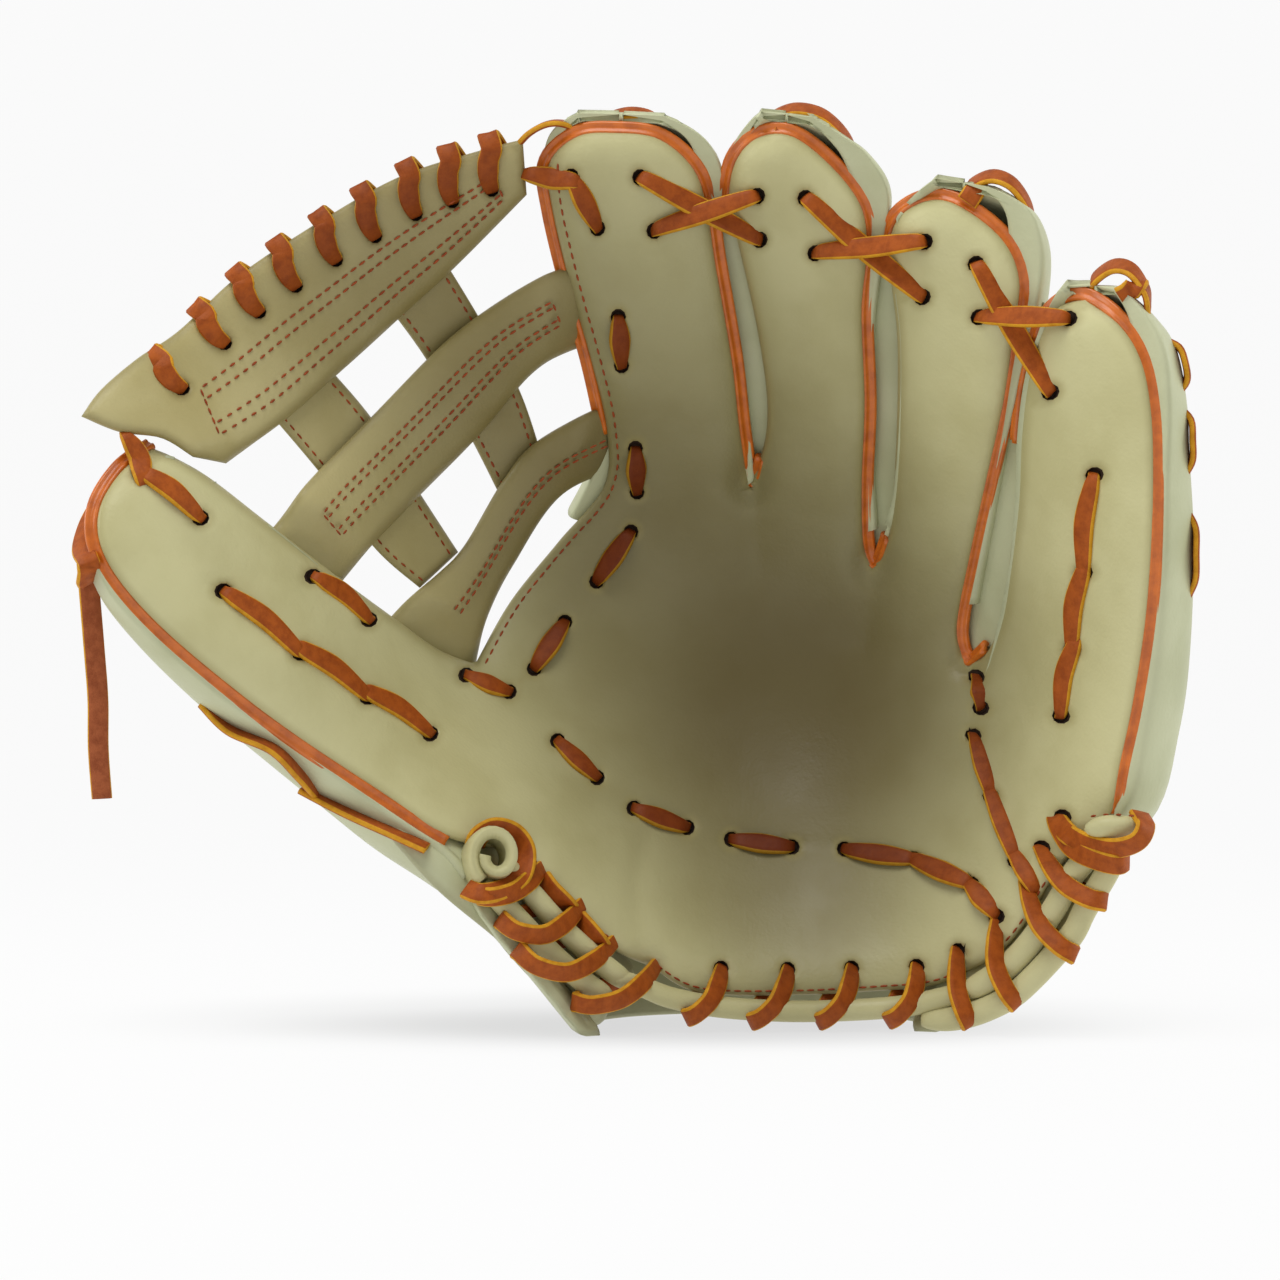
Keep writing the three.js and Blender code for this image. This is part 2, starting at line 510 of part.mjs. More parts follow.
add('web_top_bar', cutFor(sheet(topBar, 0, WEB_THICK), crown, indexWebLace, thumbWebLace),
  'leather');
add('web_middle_bar', sheet(middleBar, 0, WEB_THICK), 'leather');
add('web_lower_bar', sheet(lowerBar, 0, WEB_THICK), 'leather');
const postNear = WEB_THICK + GAP;
add('web_post_thumb_side', sheet(thumbPost, postNear, postNear + POST_THICK), 'leather');
add('web_post_index_side', sheet(indexPost, postNear, postNear + POST_THICK), 'leather');
add('web_crown_lace', laceOf(crown), 'lace');

// ---- thumb -----------------------------------------------------------------------------------
add('thumb_shell', cutFor(sheet(thumbRing, 0, LEATHER), thumbWebLace, thumbHeelLace),
  'leather');
const thumbPad = outline([[-60, 100], [-90, 118], [-118, 142], [-136, 158], [-145, 160]],
  [[-145, 160], [-151, 154], [-146, 144], [-118, 117], [-82, 89], [-54, 77]],
  [[-54, 77], [-46, 84], [-60, 100]]);
add('thumb_padding', cutFor(sheet(thumbPad, PAD_NEAR, PAD_FAR), thumbHeelLace), 'felt');
add('thumb_back', cutFor(roomForWelt(fingerBack(THUMB_RIBS).subtract(behindLeather),
  'thumb_welt').subtract(thumbRoom), thumbWebLace, thumbHeelLace)
  .subtract(tube(thumbRoll, ROLL_R + GAP)).subtract(tube(thumbRollOuter, ROLL_R + GAP)),
'backLeather');
add('thumb_welt', tube(welts.thumb_welt, WELT_R), 'welt');
add('thumb_web_lace', laceOf(thumbWebLace), 'lace');
add('thumb_heel_roll', tube(thumbRoll, ROLL_R), 'leather');
add('thumb_heel_roll_outer', tube(thumbRollOuter, ROLL_R), 'leather');
add('thumb_heel_lace', laceOf(thumbHeelLace), 'lace');

// Lace ends on the outside of the thumb: a loop at the tip with its long end hanging free, and a
// knot lower down.
const onThumb = (t, degrees, lift = LACE_R + 0.6) => onRib(ribAt(THUMB_RIBS, t), degrees, 2, lift);
add('thumb_tip_knot', laceOf([onThumb(0.93, 120, 4), onThumb(0.91, 145, 3), onThumb(0.88, 170, 3),
  onThumb(0.84, 188, 3), onThumb(0.8, 165, 3), onThumb(0.82, 140, 3)]), 'lace');
add('thumb_back_knot', laceOf([onThumb(0.5, 150), onThumb(0.44, 170), onThumb(0.38, 185),
  onThumb(0.34, 165), onThumb(0.28, 170), onThumb(0.2, 180)]), 'lace');
const tailTop = onThumb(0.86, 128, 3.5);
const TAIL_END = 76;      // height of the free end over the floor
add('thumb_lace_tail', tube([0, 0.2, 0.4, 0.6, 0.8, 1].map((t, i) => new THREE.Vector3(
  tailTop.x + [0, 1, 2, 3, 3, 4][i], tailTop.y + [0, 2, 4, 5, 6, 7][i],
  tailTop.z + (TAIL_END - tailTop.z) * t)), LACE_R + 0.2, 8, 30), 'lace');

// ---- little finger ---------------------------------------------------------------------------
add('pinky_shell', cutFor(sheet(pinkyRing, 0, LEATHER), pinkySideLace, pinkyHeelLace,
  ringPinkyLace), 'leather');
const pinkyPad = outline([[126, 66], [130, 108], [136, 140], [136, 170], [135, 198],
  [137, 212]], [[137, 212], [146, 204], [151, 178], [150, 130], [143, 90], [136, 70]],
[[136, 70], [126, 66]]);
add('pinky_padding', cutFor(sheet(pinkyPad, PAD_NEAR, PAD_FAR), pinkyHeelLace, pinkySideLace), 'felt');
add('pinky_back', cutFor(roomForWelt(roomForWelt(fingerBack(PINKY_RIBS).subtract(behindLeather),
  'pinky_welt'), 'ring_welt').subtract(ringOuter).subtract(handRoom), ringPinkyLace,
pinkyHeelLace).subtract(tube(pinkyRoll, ROLL_R + GAP)), 'backLeather');
add('pinky_welt', tube(welts.pinky_welt, WELT_R, 6, Math.round(welts.pinky_welt.length * 1.3)),
  'welt');
add('pinky_side_lace', laceOf(pinkySideLace), 'lace');
const onPinky = (t, degrees) => onRib(ribAt(PINKY_RIBS, t), degrees, 2, LACE_R + 0.7);
add('pinky_back_lace', laceOf([0.4, 0.46, 0.52, 0.58, 0.64, 0.7, 0.76].map(
  (t) => onPinky(t, 18))), 'lace');
add('pinky_heel_roll', tube(pinkyRoll, ROLL_R), 'leather');
add('pinky_heel_lace', laceOf(pinkyHeelLace), 'lace');

export default glove;
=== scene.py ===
import math

import bpy
import numpy as np
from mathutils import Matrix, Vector
from mathutils.geometry import delaunay_2d_cdt


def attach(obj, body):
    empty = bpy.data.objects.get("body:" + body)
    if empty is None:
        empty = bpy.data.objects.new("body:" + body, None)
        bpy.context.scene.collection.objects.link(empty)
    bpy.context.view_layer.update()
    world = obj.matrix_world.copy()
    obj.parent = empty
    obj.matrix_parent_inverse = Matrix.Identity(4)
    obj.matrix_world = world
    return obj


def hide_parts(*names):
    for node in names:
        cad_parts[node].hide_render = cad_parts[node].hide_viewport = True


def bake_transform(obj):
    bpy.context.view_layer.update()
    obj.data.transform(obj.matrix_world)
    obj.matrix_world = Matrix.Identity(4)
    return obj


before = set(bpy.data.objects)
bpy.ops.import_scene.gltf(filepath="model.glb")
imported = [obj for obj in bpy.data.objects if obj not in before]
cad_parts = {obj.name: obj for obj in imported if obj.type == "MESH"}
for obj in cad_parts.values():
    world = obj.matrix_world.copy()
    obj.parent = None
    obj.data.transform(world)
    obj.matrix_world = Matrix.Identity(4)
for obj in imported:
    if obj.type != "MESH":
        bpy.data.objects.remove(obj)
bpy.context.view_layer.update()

# A fielder's glove for the left hand, standing on its heel with the pocket open to the front.
# The drawings are in millimetres: x towards the little finger, z up. Every front piece is an
# outline in (x, z) laid on one bowl-shaped surface that gives its y.
MM = 0.001
MIDDLE = np.array([1.2, 14.2, 0.0])    # where the frame's origin is in the drawings


# ---- camera ----------------------------------------------------------------------------------
# Level with the middle of the pocket, 1.3 m in front of the glove, with a long lens.
camera = bpy.data.objects.new("camera", bpy.data.cameras.new("camera"))
bpy.context.scene.collection.objects.link(camera)
camera.data.sensor_width = 36
camera.data.lens = 114.26
camera.location = (-0.0012, -1.3142, 0.125)
camera.rotation_euler = (math.pi / 2, 0, 0)
bpy.context.scene.camera = camera


# ---- front leather: the hide -----------------------------------------------------------------
# The open side of the glove is cream steerhide, tanned soft, oiled and finished satin. It is cut
# with a die, punched for its laces, and sewn to the back leather along its edges.
def to_linear(colour):
    """Linear RGBA of an sRGB hex colour."""
    parts = [int(colour[i:i + 2], 16) / 255 for i in (1, 3, 5)]
    return [c / 12.92 if c <= 0.04045 else ((c + 0.055) / 1.055) ** 2.4 for c in parts] + [1]


def add(tree, kind, inputs=None, **settings):
    """Adds a node. An input is a value, or the output socket of another node."""
    node = tree.nodes.new(kind)
    for key, value in settings.items():
        setattr(node, key, value)
    for key, value in (inputs or {}).items():
        if isinstance(value, bpy.types.NodeSocket):
            tree.links.new(value, node.inputs[key])
        else:
            node.inputs[key].default_value = value
    return node


def new_material(name):
    """A new material with its node tree, its shader and the Object coordinates."""
    material = bpy.data.materials.new(name)
    material.use_nodes = True
    tree = material.node_tree
    shader = tree.nodes["Principled BSDF"]
    return material, tree, shader, add(tree, "ShaderNodeTexCoord").outputs["Object"]


def mix(tree, factor, a, b):
    """Colour a turned towards colour b by a factor."""
    node = add(tree, "ShaderNodeMix", data_type="RGBA", blend_type="MIX")
    for socket, value in ((0, factor), (6, a), (7, b)):
        if isinstance(value, bpy.types.NodeSocket):
            tree.links.new(value, node.inputs[socket])
        else:
            node.inputs[socket].default_value = value
    return node.outputs[2]


def ramp(tree, value, low, high, to_low=0.0, to_high=1.0):
    """Maps value from low..high to to_low..to_high, clamped and smooth."""
    return add(tree, "ShaderNodeMapRange", {"Value": value, "From Min": low, "From Max": high,
               "To Min": to_low, "To Max": to_high}, interpolation_type="SMOOTHSTEP").outputs[0]


def noise(tree, where, size, detail=3.0, rough=0.5):
    """Noise whose blotches are about size metres across."""
    return add(tree, "ShaderNodeTexNoise", {"Vector": where, "Scale": 1 / size,
               "Detail": detail, "Roughness": rough}).outputs["Fac"]


def bump(tree, height, distance, strength, normal=None):
    """Bumps distance metres high, on top of another normal if one is given."""
    inputs = {"Height": height, "Distance": distance, "Strength": strength}
    if normal is not None:
        inputs["Normal"] = normal
    return add(tree, "ShaderNodeBump", inputs).outputs["Normal"]


# Where the leather is darkened, partly by glove oil in the pocket and partly by painted shade over
# the pocket's hollow, the index finger, the web and the lower palm: middle in metres, reach and
# strength.
OIL_AND_SHADE_STAINS = [((0.047, 0.030, 0.106), 0.128, 0.86), ((0.000, 0.012, 0.205), 0.115, 0.50),
          ((0.050, 0.004, 0.036), 0.055, 0.42), ((-0.030, 0.020, 0.165), 0.075, 0.38),
          ((-0.072, -0.010, 0.245), 0.085, 0.42)]
# The brown of the oil stains, also used for the painted shade.
OIL_AND_SHADE_BROWN = "#4E3D10"


def oiled_and_shaded(tree, where, base, colour, share=1.0):
    """Base colour, darkened round the middle of each stain by oil and by painted shade."""
    for middle, reach, strength in OIL_AND_SHADE_STAINS:
        near = add(tree, "ShaderNodeVectorMath", {0: where, 1: middle}, operation="DISTANCE")
        deep = ramp(tree, near.outputs["Value"], reach * 0.12, reach, strength * share, 0.0)
        base = mix(tree, deep, base, to_linear(colour))
    return base


PEBBLE = 0.0011         # steerhide's grain, drawn a little coarser than life so that it shows
BURNISHED = 0.0035      # how far in from a cut edge the rubbed, darker band reaches


def leather(name, colour, shade, burnish, rough=0.43, oil_and_shade=0.0):
    """Smooth full-grain hide: fine pebbled grain, faint wrinkles, blotches of dye and darker
    burnished edges. The last argument is how much the oil stains and painted shade darken it."""
    material, tree, shader, where = new_material(name)
    blotch = noise(tree, where, 0.035, 4)
    base = mix(tree, ramp(tree, blotch, 0.35, 0.7), to_linear(colour), to_linear(shade))
    # Oil stains and painted shade, from the list above.
    if oil_and_shade:
        base = oiled_and_shaded(tree, where, base, OIL_AND_SHADE_BROWN, oil_and_shade)
    edge = add(tree, "ShaderNodeAttribute", attribute_name="edge").outputs["Fac"]
    base = mix(tree, ramp(tree, edge, 0.0, BURNISHED, 0.55, 0.0), base, to_linear(burnish))
    tree.links.new(base, shader.inputs["Base Color"])
    pebble = add(tree, "ShaderNodeTexVoronoi", {"Vector": where, "Scale": 1 / PEBBLE},
                 feature="SMOOTH_F1").outputs["Distance"]
    wrinkle = noise(tree, where, 0.012, 5, 0.6)
    tone = ramp(tree, noise(tree, where, 0.02, 2), 0.3, 0.7, rough - 0.05, rough + 0.07)
    tree.links.new(tone, shader.inputs["Roughness"])
    normal = bump(tree, pebble, 0.00012, 0.55)
    normal = bump(tree, wrinkle, 0.0011, 0.35, normal)
    tree.links.new(normal, shader.inputs["Normal"])
    shader.inputs["Specular IOR Level"].default_value = 0.26
    shader.inputs["Coat Weight"].default_value = 0.03
    shader.inputs["Coat Roughness"].default_value = 0.35
    return material


# Cream steerhide with a satin finish, darker in the pocket with oil and with painted shade.
front_hide = leather("cream_steerhide", "#C9C494", "#BDB786", "#9A8F5C", oil_and_shade=1.0)


def rawhide(name, colour, dark, rough=0.55, fibre=1.0, oil_and_shade=None):
    """Tanned rawhide lace: streaky dye, a dry fibrous surface. The last argument is the colour
    that oil stains and painted shade turn it to.
    """
    material, tree, shader, where = new_material(name)
    streak = noise(tree, where, 0.0035, 5, 0.65)
    fine = noise(tree, where, 0.0006, 3, 0.7)
    base = mix(tree, ramp(tree, streak, 0.3, 0.75), to_linear(colour), to_linear(dark))
    # Oil stains and painted shade round the pocket.
    if oil_and_shade:
        base = oiled_and_shaded(tree, where, base, oil_and_shade, 1.15)
    tree.links.new(base, shader.inputs["Base Color"])
    shader.inputs["Roughness"].default_value = rough
    normal = bump(tree, streak, 0.0004 * fibre, 0.5)
    tree.links.new(bump(tree, fine, 0.00012 * fibre, 0.6, normal), shader.inputs["Normal"])
    shader.inputs["Specular IOR Level"].default_value = 0.22
    return material


# The walls of the punched holes and the discs behind them are coloured nearly black: painted shade
# inside the holes.
hole_painted_shade = rawhide("dark_punched_hole", "#2C1C10", "#1A110A", 0.9)
# ---- front leather: cutting it to shape ------------------------------------------------------
# Each piece is cut flat from the hide with its lace holes punched, then pressed over the bowl.
# The cut edges are rounded off, and the skin behind is the same sheet's flesh side.
def thin_plate(points):
    """Smooth surface y(x, z) through a list of [x, z, y] points."""
    p = np.array(points, float)
    n = len(p)

    def kernel(dx, dz):
        r2 = dx * dx + dz * dz
        return 0.5 * r2 * np.log(np.maximum(r2, 1e-12))
    a = np.zeros((n + 3, n + 3))
    a[:n, :n] = kernel(p[:, None, 0] - p[:, 0], p[:, None, 1] - p[:, 1])
    a[:n, n] = a[n, :n] = 1
    a[:n, n + 1:] = p[:, :2]
    a[n + 1:, :n] = p[:, :2].T
    w = np.linalg.solve(a, np.r_[p[:, 2], 0, 0, 0])

    def surface(x, z):
        x, z = np.asarray(x, float), np.asarray(z, float)
        bend = kernel(x[..., None] - p[:, 0], z[..., None] - p[:, 1]) @ w[:n]
        return bend + w[n] + w[n + 1] * x + w[n + 2] * z
    return surface


def spline(points, step=2.0):
    """Smooth curve through points, sampled evenly."""
    p = np.asarray(points, float)
    p = np.vstack([p[:1], p, p[-1:]])
    t = np.linspace(0, 1, 24, endpoint=False)[:, None]
    parts = []
    for a, b, c, d in zip(p, p[1:], p[2:], p[3:]):
        parts.append(0.5 * (2 * b + (c - a) * t + (2 * a - 5 * b + 4 * c - d) * t ** 2
                            + (3 * b - a - 3 * c + d) * t ** 3))
    curve = np.vstack(parts + [p[-1:]])
    s = np.r_[0, np.cumsum(np.linalg.norm(np.diff(curve, axis=0), axis=1))]
    u = np.linspace(0, s[-1], max(2, int(round(s[-1] / step)) + 1))
    return np.stack([np.interp(u, s, curve[:, k]) for k in range(curve.shape[1])], 1)


def ring(*edges, step=2.0):
    """Closed outline from smooth edges that follow one another."""
    return np.vstack([spline(e, step)[:-1] for e in edges])


def distance(points, line):
    """Distance of each point from a polyline."""
    best = np.full(len(points), 1e9)
    for p, q in zip(line[:-1], line[1:]):
        d = q - p
        t = np.clip((points - p) @ d / max(d @ d, 1e-9), 0, 1)
        best = np.minimum(best, np.linalg.norm(points - p - t[:, None] * d, axis=1))
    return best


def inside(points, loop):
    """Whether each point is inside a closed outline."""
    hit = np.zeros(len(points), bool)
    x, z = points[:, 0], points[:, 1]
    for (x0, z0), (x1, z1) in zip(loop, np.roll(loop, -1, 0)):
        if z0 == z1:
            continue
        cross = ((z0 > z) != (z1 > z)) & (x < (x1 - x0) * (z - z0) / (z1 - z0) + x0)
        hit ^= cross
    return hit


def closed(loop):
    """The outline with its first point again at its end."""
    return np.vstack([loop, loop[:1]])


EDGE_ROWS = (0.5, 1.4)   # rows of points beside every cut edge, which carry its rounding


def triangulate(outline, holes, spacing, lines=()):
    """Even triangles over an outline with holes. lines are also followed by edges."""
    loops = [outline] + list(holes)
    points, edges = [], []
    for loop in loops:
        start = len(points)
        points += list(loop)
        edges += [(start + i, start + (i + 1) % len(loop)) for i in range(len(loop))]
    for line in lines:
        start = len(points)
        points += list(line)
        edges += [(start + i, start + i + 1) for i in range(len(line) - 1)]
    low, high = outline.min(0), outline.max(0)
    extra = [(x + (j % 2) * spacing / 2, z)
             for j, z in enumerate(np.arange(low[1], high[1], spacing * 0.87))
             for x in np.arange(low[0], high[0], spacing)]
    extra = np.array(extra) if extra else np.zeros((0, 2))
    near = np.min([distance(extra, closed(l)) for l in loops], axis=0)
    extra = extra[near > 1.3 + spacing * 0.45]
    rows = []
    for k, loop in enumerate(loops):
        along = np.roll(loop, -1, 0) - np.roll(loop, 1, 0)
        along /= np.maximum(np.linalg.norm(along, axis=1), 1e-9)[:, None]
        area = np.sum(loop[:, 0] * np.roll(loop[:, 1], -1) - np.roll(loop[:, 0], -1) * loop[:, 1])
        turn = np.sign(area) * (1 if k == 0 else -1)
        for inset in EDGE_ROWS:
            rows.append(loop + inset * turn * np.stack([-along[:, 1], along[:, 0]], 1))
            d = np.min([distance(rows[-1], closed(l)) for l in loops], axis=0)
            rows[-1] = rows[-1][d > inset * 0.85]
    extra = np.vstack([extra] + rows)
    for line in lines:
        extra = extra[distance(extra, line) > spacing * 0.3]
    keep = inside(extra, outline)
    for hole in holes:
        keep &= ~inside(extra, hole)
    points = np.vstack([np.array(points), extra[keep]])
    verts, _, faces, *_ = delaunay_2d_cdt([Vector(p) for p in points], edges, [], 0, 1e-4)
    verts = np.array([v[:] for v in verts])
    faces = np.array([f for f in faces if len(f) == 3])
    middle = verts[faces].mean(1)
    keep = inside(middle, outline)
    for hole in holes:
        keep &= ~inside(middle, hole)
    faces = faces[keep]
    a, b, c = (verts[faces[:, i]] for i in range(3))
    turn = (b - a)[:, 0] * (c - a)[:, 1] - (b - a)[:, 1] * (c - a)[:, 0]
    faces = faces[np.abs(turn) > 1e-6]
    turn = turn[np.abs(turn) > 1e-6]
    faces[turn < 0] = faces[turn < 0][:, ::-1]
    used = np.unique(faces)
    index = np.full(len(verts), -1)
    index[used] = np.arange(len(used))
    return verts[used], index[faces]


def border_edges(faces):
    """Edges of triangles or quads that only one face has, in that face's direction."""
    seen = {}
    for f in faces:
        for a, b in zip(f, list(f[1:]) + [f[0]]):
            seen[(a, b)] = True
    return [(a, b) for a, b in seen if (b, a) not in seen]


def close_up(outer, inner, faces):
    """Closed body between two skins that share their faces."""
    n = len(outer)
    faces = [tuple(int(i) for i in f) for f in faces]
    walls = [(b, a, a + n, b + n) for a, b in border_edges(faces)]
    back = [tuple(i + n for i in reversed(f)) for f in faces]
    return np.vstack([outer, inner]), faces + back + walls


def hide(outline, thick, surface, holes=(), hole_r=2.1, spacing=3.0, relief=None, lines=(),
         cut_holes=()):
    """Leather cut to an outline, with rounded edges and punched holes.
    surface(u, v, depth) places it. relief(points) is how far its face is pushed back."""
    a = np.linspace(0, 2 * math.pi, 10, endpoint=False)
    circles = [np.array(h) + hole_r * np.stack([np.cos(a), np.sin(a)], 1) for h in holes]
    loops = list(cut_holes) + circles
    flat, faces = triangulate(outline, loops, spacing, lines)
    d = np.min([distance(flat, closed(l)) for l in [outline] + loops], axis=0)
    r = thick * 0.46
    t = np.clip(d / r, 0, 1)
    turn = r * (1 - np.sqrt(1 - (1 - t) ** 2))
    push = relief(flat) if relief else 0
    outer = surface(flat[:, 0], flat[:, 1], push + turn)
    inner = surface(flat[:, 0], flat[:, 1], push + thick - turn)
    verts, faces = close_up(outer, inner, faces)
    return verts, faces, np.r_[d, d] * MM


def joined(parts):
    """One set of vertices, faces and face kinds from several."""
    verts, faces, kinds, start = [], [], [], 0
    for v, f, k in parts:
        verts.append(v)
        faces += [tuple(i + start for i in face) for face in f]
        kinds += list(k)
        start += len(v)
    return np.vstack(verts), faces, kinds


FAR_IN = 0.02           # edge distance of a piece with no cut edge to burnish


def piece(name, verts, faces, materials, slots=None, edge=None, instead=(), ride=None):
    """Makes the object, in metres, smooth shaded."""
    mesh = bpy.data.meshes.new(name)
    mesh.from_pydata(((np.asarray(verts) - MIDDLE) * MM).tolist(), [], [list(f) for f in faces])
    mesh.polygons.foreach_set("use_smooth", [True] * len(mesh.polygons))
    for material in materials:
        mesh.materials.append(material)
    if slots is not None:
        mesh.polygons.foreach_set("material_index", list(slots))
    attribute = mesh.attributes.new("edge", "FLOAT", "POINT")
    attribute.data.foreach_set(
        "value", np.full(len(verts), FAR_IN) if edge is None else np.asarray(edge))
    mesh.update()
    obj = bpy.data.objects.new(name, mesh)
    bpy.context.scene.collection.objects.link(obj)
    if instead:
        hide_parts(*instead)
    if ride:
        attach(obj, ride)
    return obj


def cut_piece(name, outline, thick, surface, material, instead=(), ride=None,
              slot="back_leather", **how):
    """Leather cut to an outline and made a piece."""
    verts, faces, edge = hide(outline, thick, surface, **how)
    return piece(name, verts, faces, [material], edge=edge, instead=instead, ride=ride)


# Points [x, z, y] that the pocket's bowl runs through.
BOWL = [
    [-163, 167, -72], [-125, 110, -60], [-52, 59, -30], [-142, 182, -54], [-97, 145, -14],
    [-54, 117, 34], [3, 15, -8], [48, 8, -4], [97, 14, -10], [146, 69, -46],
    [157, 149, -62], [136, 230, -58], [99, 260, -42], [47, 279, -30], [-13, 283, -24],
    [-14, 208, 20], [33, 105, 56], [95, 96, 30], [38, 175, 42], [78, 149, 38],
    [109, 117, 20], [-32, 138, 50], [52, 40, 22], [-106, 125, -38], [-99, 236, -8],
    [-68, 193, 22], [-137, 203, -38],
]
front = thin_plate(BOWL)


def bowl(x, z, depth=0.0):
    """Point at a depth behind the bowl."""
    x, z = np.asarray(x, float), np.asarray(z, float)
    return np.stack([x, front(x, z) + depth, z], -1)


def behind(near):
    """Surface for pieces that lie near mm behind the bowl."""
    return lambda x, z, depth: bowl(x, z, near + depth)


def facing(x, z):
    """Unit normal of the bowl, towards the front."""
    n = np.stack([front(x + 1, z) - front(x - 1, z), np.full(np.shape(x), -2.0),
                  front(x, z + 1) - front(x, z - 1)], -1)
    return n / np.linalg.norm(n, axis=-1)[..., None]


# The front leather's edges, in order round the fingers, the little finger, heel and thumb.
INDEX_LEFT = [[-54, 118], [-43, 138], [-27, 158], [-12, 176], [-11, 194], [-16, 216],
              [-22, 237], [-28, 262], [-29, 276], [-20, 284], [-8, 285], [6, 283], [17, 274],
              [21.5, 262], [24, 247], [30, 216], [33, 194], [36.5, 176]]
MIDDLE_EDGE = [[36.5, 176], [41, 190], [41.5, 204], [38, 225], [32, 249], [28, 264],
               [30, 276], [37, 283], [48, 283], [61, 273], [70, 261], [72, 248], [71, 230],
               [73, 202], [73, 177], [74, 158], [77, 149]]
RING_EDGE = [[77, 149], [82, 160], [83, 177], [83, 202], [82, 223], [79, 244],
             [80, 256], [88, 262], [98, 261], [112, 250], [118, 237], [117, 221], [115, 200],
             [111, 176], [107, 151], [104, 128], [107.5, 117]]
PINKY_CREASE = [[107.5, 117], [106, 70], [103, 18.5]]
HEEL_EDGE = [[103, 18.5], [95, 15], [83, 13], [51, 11], [19, 12], [4, 20]]
THUMB_CREASE = [[4, 20], [-26, 68], [-54, 118]]
THUMB_INNER = [[-55.5, 117.5], [-66, 122], [-78, 131], [-96, 145], [-117, 162],
               [-133, 175], [-143, 181], [-150, 184]]
THUMB_OUTER = [[-150, 184], [-158, 177], [-164, 166], [-164, 155], [-158, 143],
               [-145, 128], [-125, 110], [-105, 94], [-81, 77], [-60, 63], [-38, 58]]
THUMB_HEEL = [[-38, 58], [-30, 49], [-19, 37], [-8, 26], [4, 20]]
PINKY_INNER = [[107.5, 117], [113, 121], [117, 133], [118.5, 151], [120, 169], [120, 188],
               [121, 205], [124, 219], [129, 228], [137, 230]]
PINKY_OUTER = [[137, 230], [147, 221], [153, 210], [156, 195], [157, 177], [157, 152],
               [156, 128], [153, 104], [149, 84], [147, 71]]
PINKY_HEEL = [[147, 71], [139.5, 64], [132.5, 54.5], [127.6, 46.2], [122.1, 36.2],
              [116.9, 28.9], [111.3, 23.6], [103, 18.5]]

# Where the leather sinks: a line, how wide the fall is and how deep it is at the line.
FALLS = [(spline(line, 4), width, drop) for line, width, drop in (
    (INDEX_LEFT, 11, 4.5), (MIDDLE_EDGE, 11, 5.0), (RING_EDGE, 11, 5.0),
    (THUMB_INNER, 12, 4.0), (THUMB_OUTER, 15, 5.0), (PINKY_INNER, 10, 4.5),
    (PINKY_OUTER, 14, 5.0), (THUMB_HEEL, 8, 3.0), (PINKY_HEEL, 9, 3.0), (HEEL_EDGE, 12, 4.0),
    ([[36.5, 176], [38, 160], [39, 148]], 13, 2.2), ([[77, 149], [76, 134], [74, 122]], 13, 2.2),
    ([[107.5, 117], [107, 98]], 12, 2.0),
    ([[2, 60], [-1, 44], [1, 24]], 8, 1.6), ([[110, 52], [108, 38], [110, 26]], 8, 1.6),
    ([[-27, 92], [-8, 76], [18, 64], [48, 58], [80, 55], [100, 48]], 12, 1.3),
    ([[-128, 142], [-104, 122], [-86, 108], [-67, 95]], 10, 1.2),
    ([[140, 178], [139, 148], [137, 125], [133, 100]], 9, 1.0),
)]


DEEPEST = 7.0           # most that falls together push the leather back


def relief(points):
    """How far back the leather sinks at each point."""
    depth = np.zeros(len(points))
    for line, width, drop in FALLS:
        near = np.all((points > line.min(0) - width) & (points < line.max(0) + width), axis=1)
        t = np.clip(1 - distance(points[near], line) / width, 0, 1)
        depth[near] += drop * t ** 2
    return np.minimum(depth, DEEPEST)


GRID_X, GRID_Z, GRID_STEP = np.arange(-172, 168, 2.0), np.arange(0, 296, 2.0), 2
SUNK = relief(np.stack(np.meshgrid(GRID_X, GRID_Z), -1).reshape(-1, 2)).reshape(
    len(GRID_Z), len(GRID_X))


def face_depth(p):
    """The same at one point, read off a grid."""
    i, j = (p[0] - GRID_X[0]) / GRID_STEP, p[1] / GRID_STEP
    a, b = int(np.clip(i, 0, len(GRID_X) - 2)), int(np.clip(j, 0, len(GRID_Z) - 2))
    f, g = np.clip(i - a, 0, 1), np.clip(j - b, 0, 1)
    low = SUNK[b, a] * (1 - f) + SUNK[b, a + 1] * f
    return float(low * (1 - g) + (SUNK[b + 1, a] * (1 - f) + SUNK[b + 1, a + 1] * f) * g)


# ---- front leather: where it is laced --------------------------------------------------------
# The leather is punched with 4 mm holes wherever a lace goes through. Each lace comes out of one
# hole and goes down the next: [from, to] for each run that shows.
PALM_RUNS = [[[-27, 92], [-14, 80]], [[-2, 70], [15.5, 63.5]], [[30, 59.5], [50, 57]],
             [[67, 56.5], [89, 54]], [[87.5, 54.5], [106, 47]], [[104.5, 48], [113, 37.5]]]
INDEX_RUNS = [[[-21.8, 271.5], [-13.5, 256]], [[-7, 229], [-6, 214]], [[-1.5, 188], [-1, 174]],
              [[-3, 161], [-14.5, 144.5]], [[-25, 131], [-35, 115.5]]]
WEB_FOOT_RUNS = [[[-57, 113.5], [-43, 108]]]
THUMB_RUNS = [[[-152.5, 176.5], [-135, 162.5]], [[-103, 145], [-86.5, 131.5]],
              [[-128, 140], [-105.5, 121]], [[-107.5, 123.5], [-86, 107]],
              [[-88, 109.5], [-67, 95]]]
PINKY_RUNS = [[[140.5, 176], [138.5, 146]], [[139, 149], [136, 122]], [[137.5, 126], [133, 101]]]
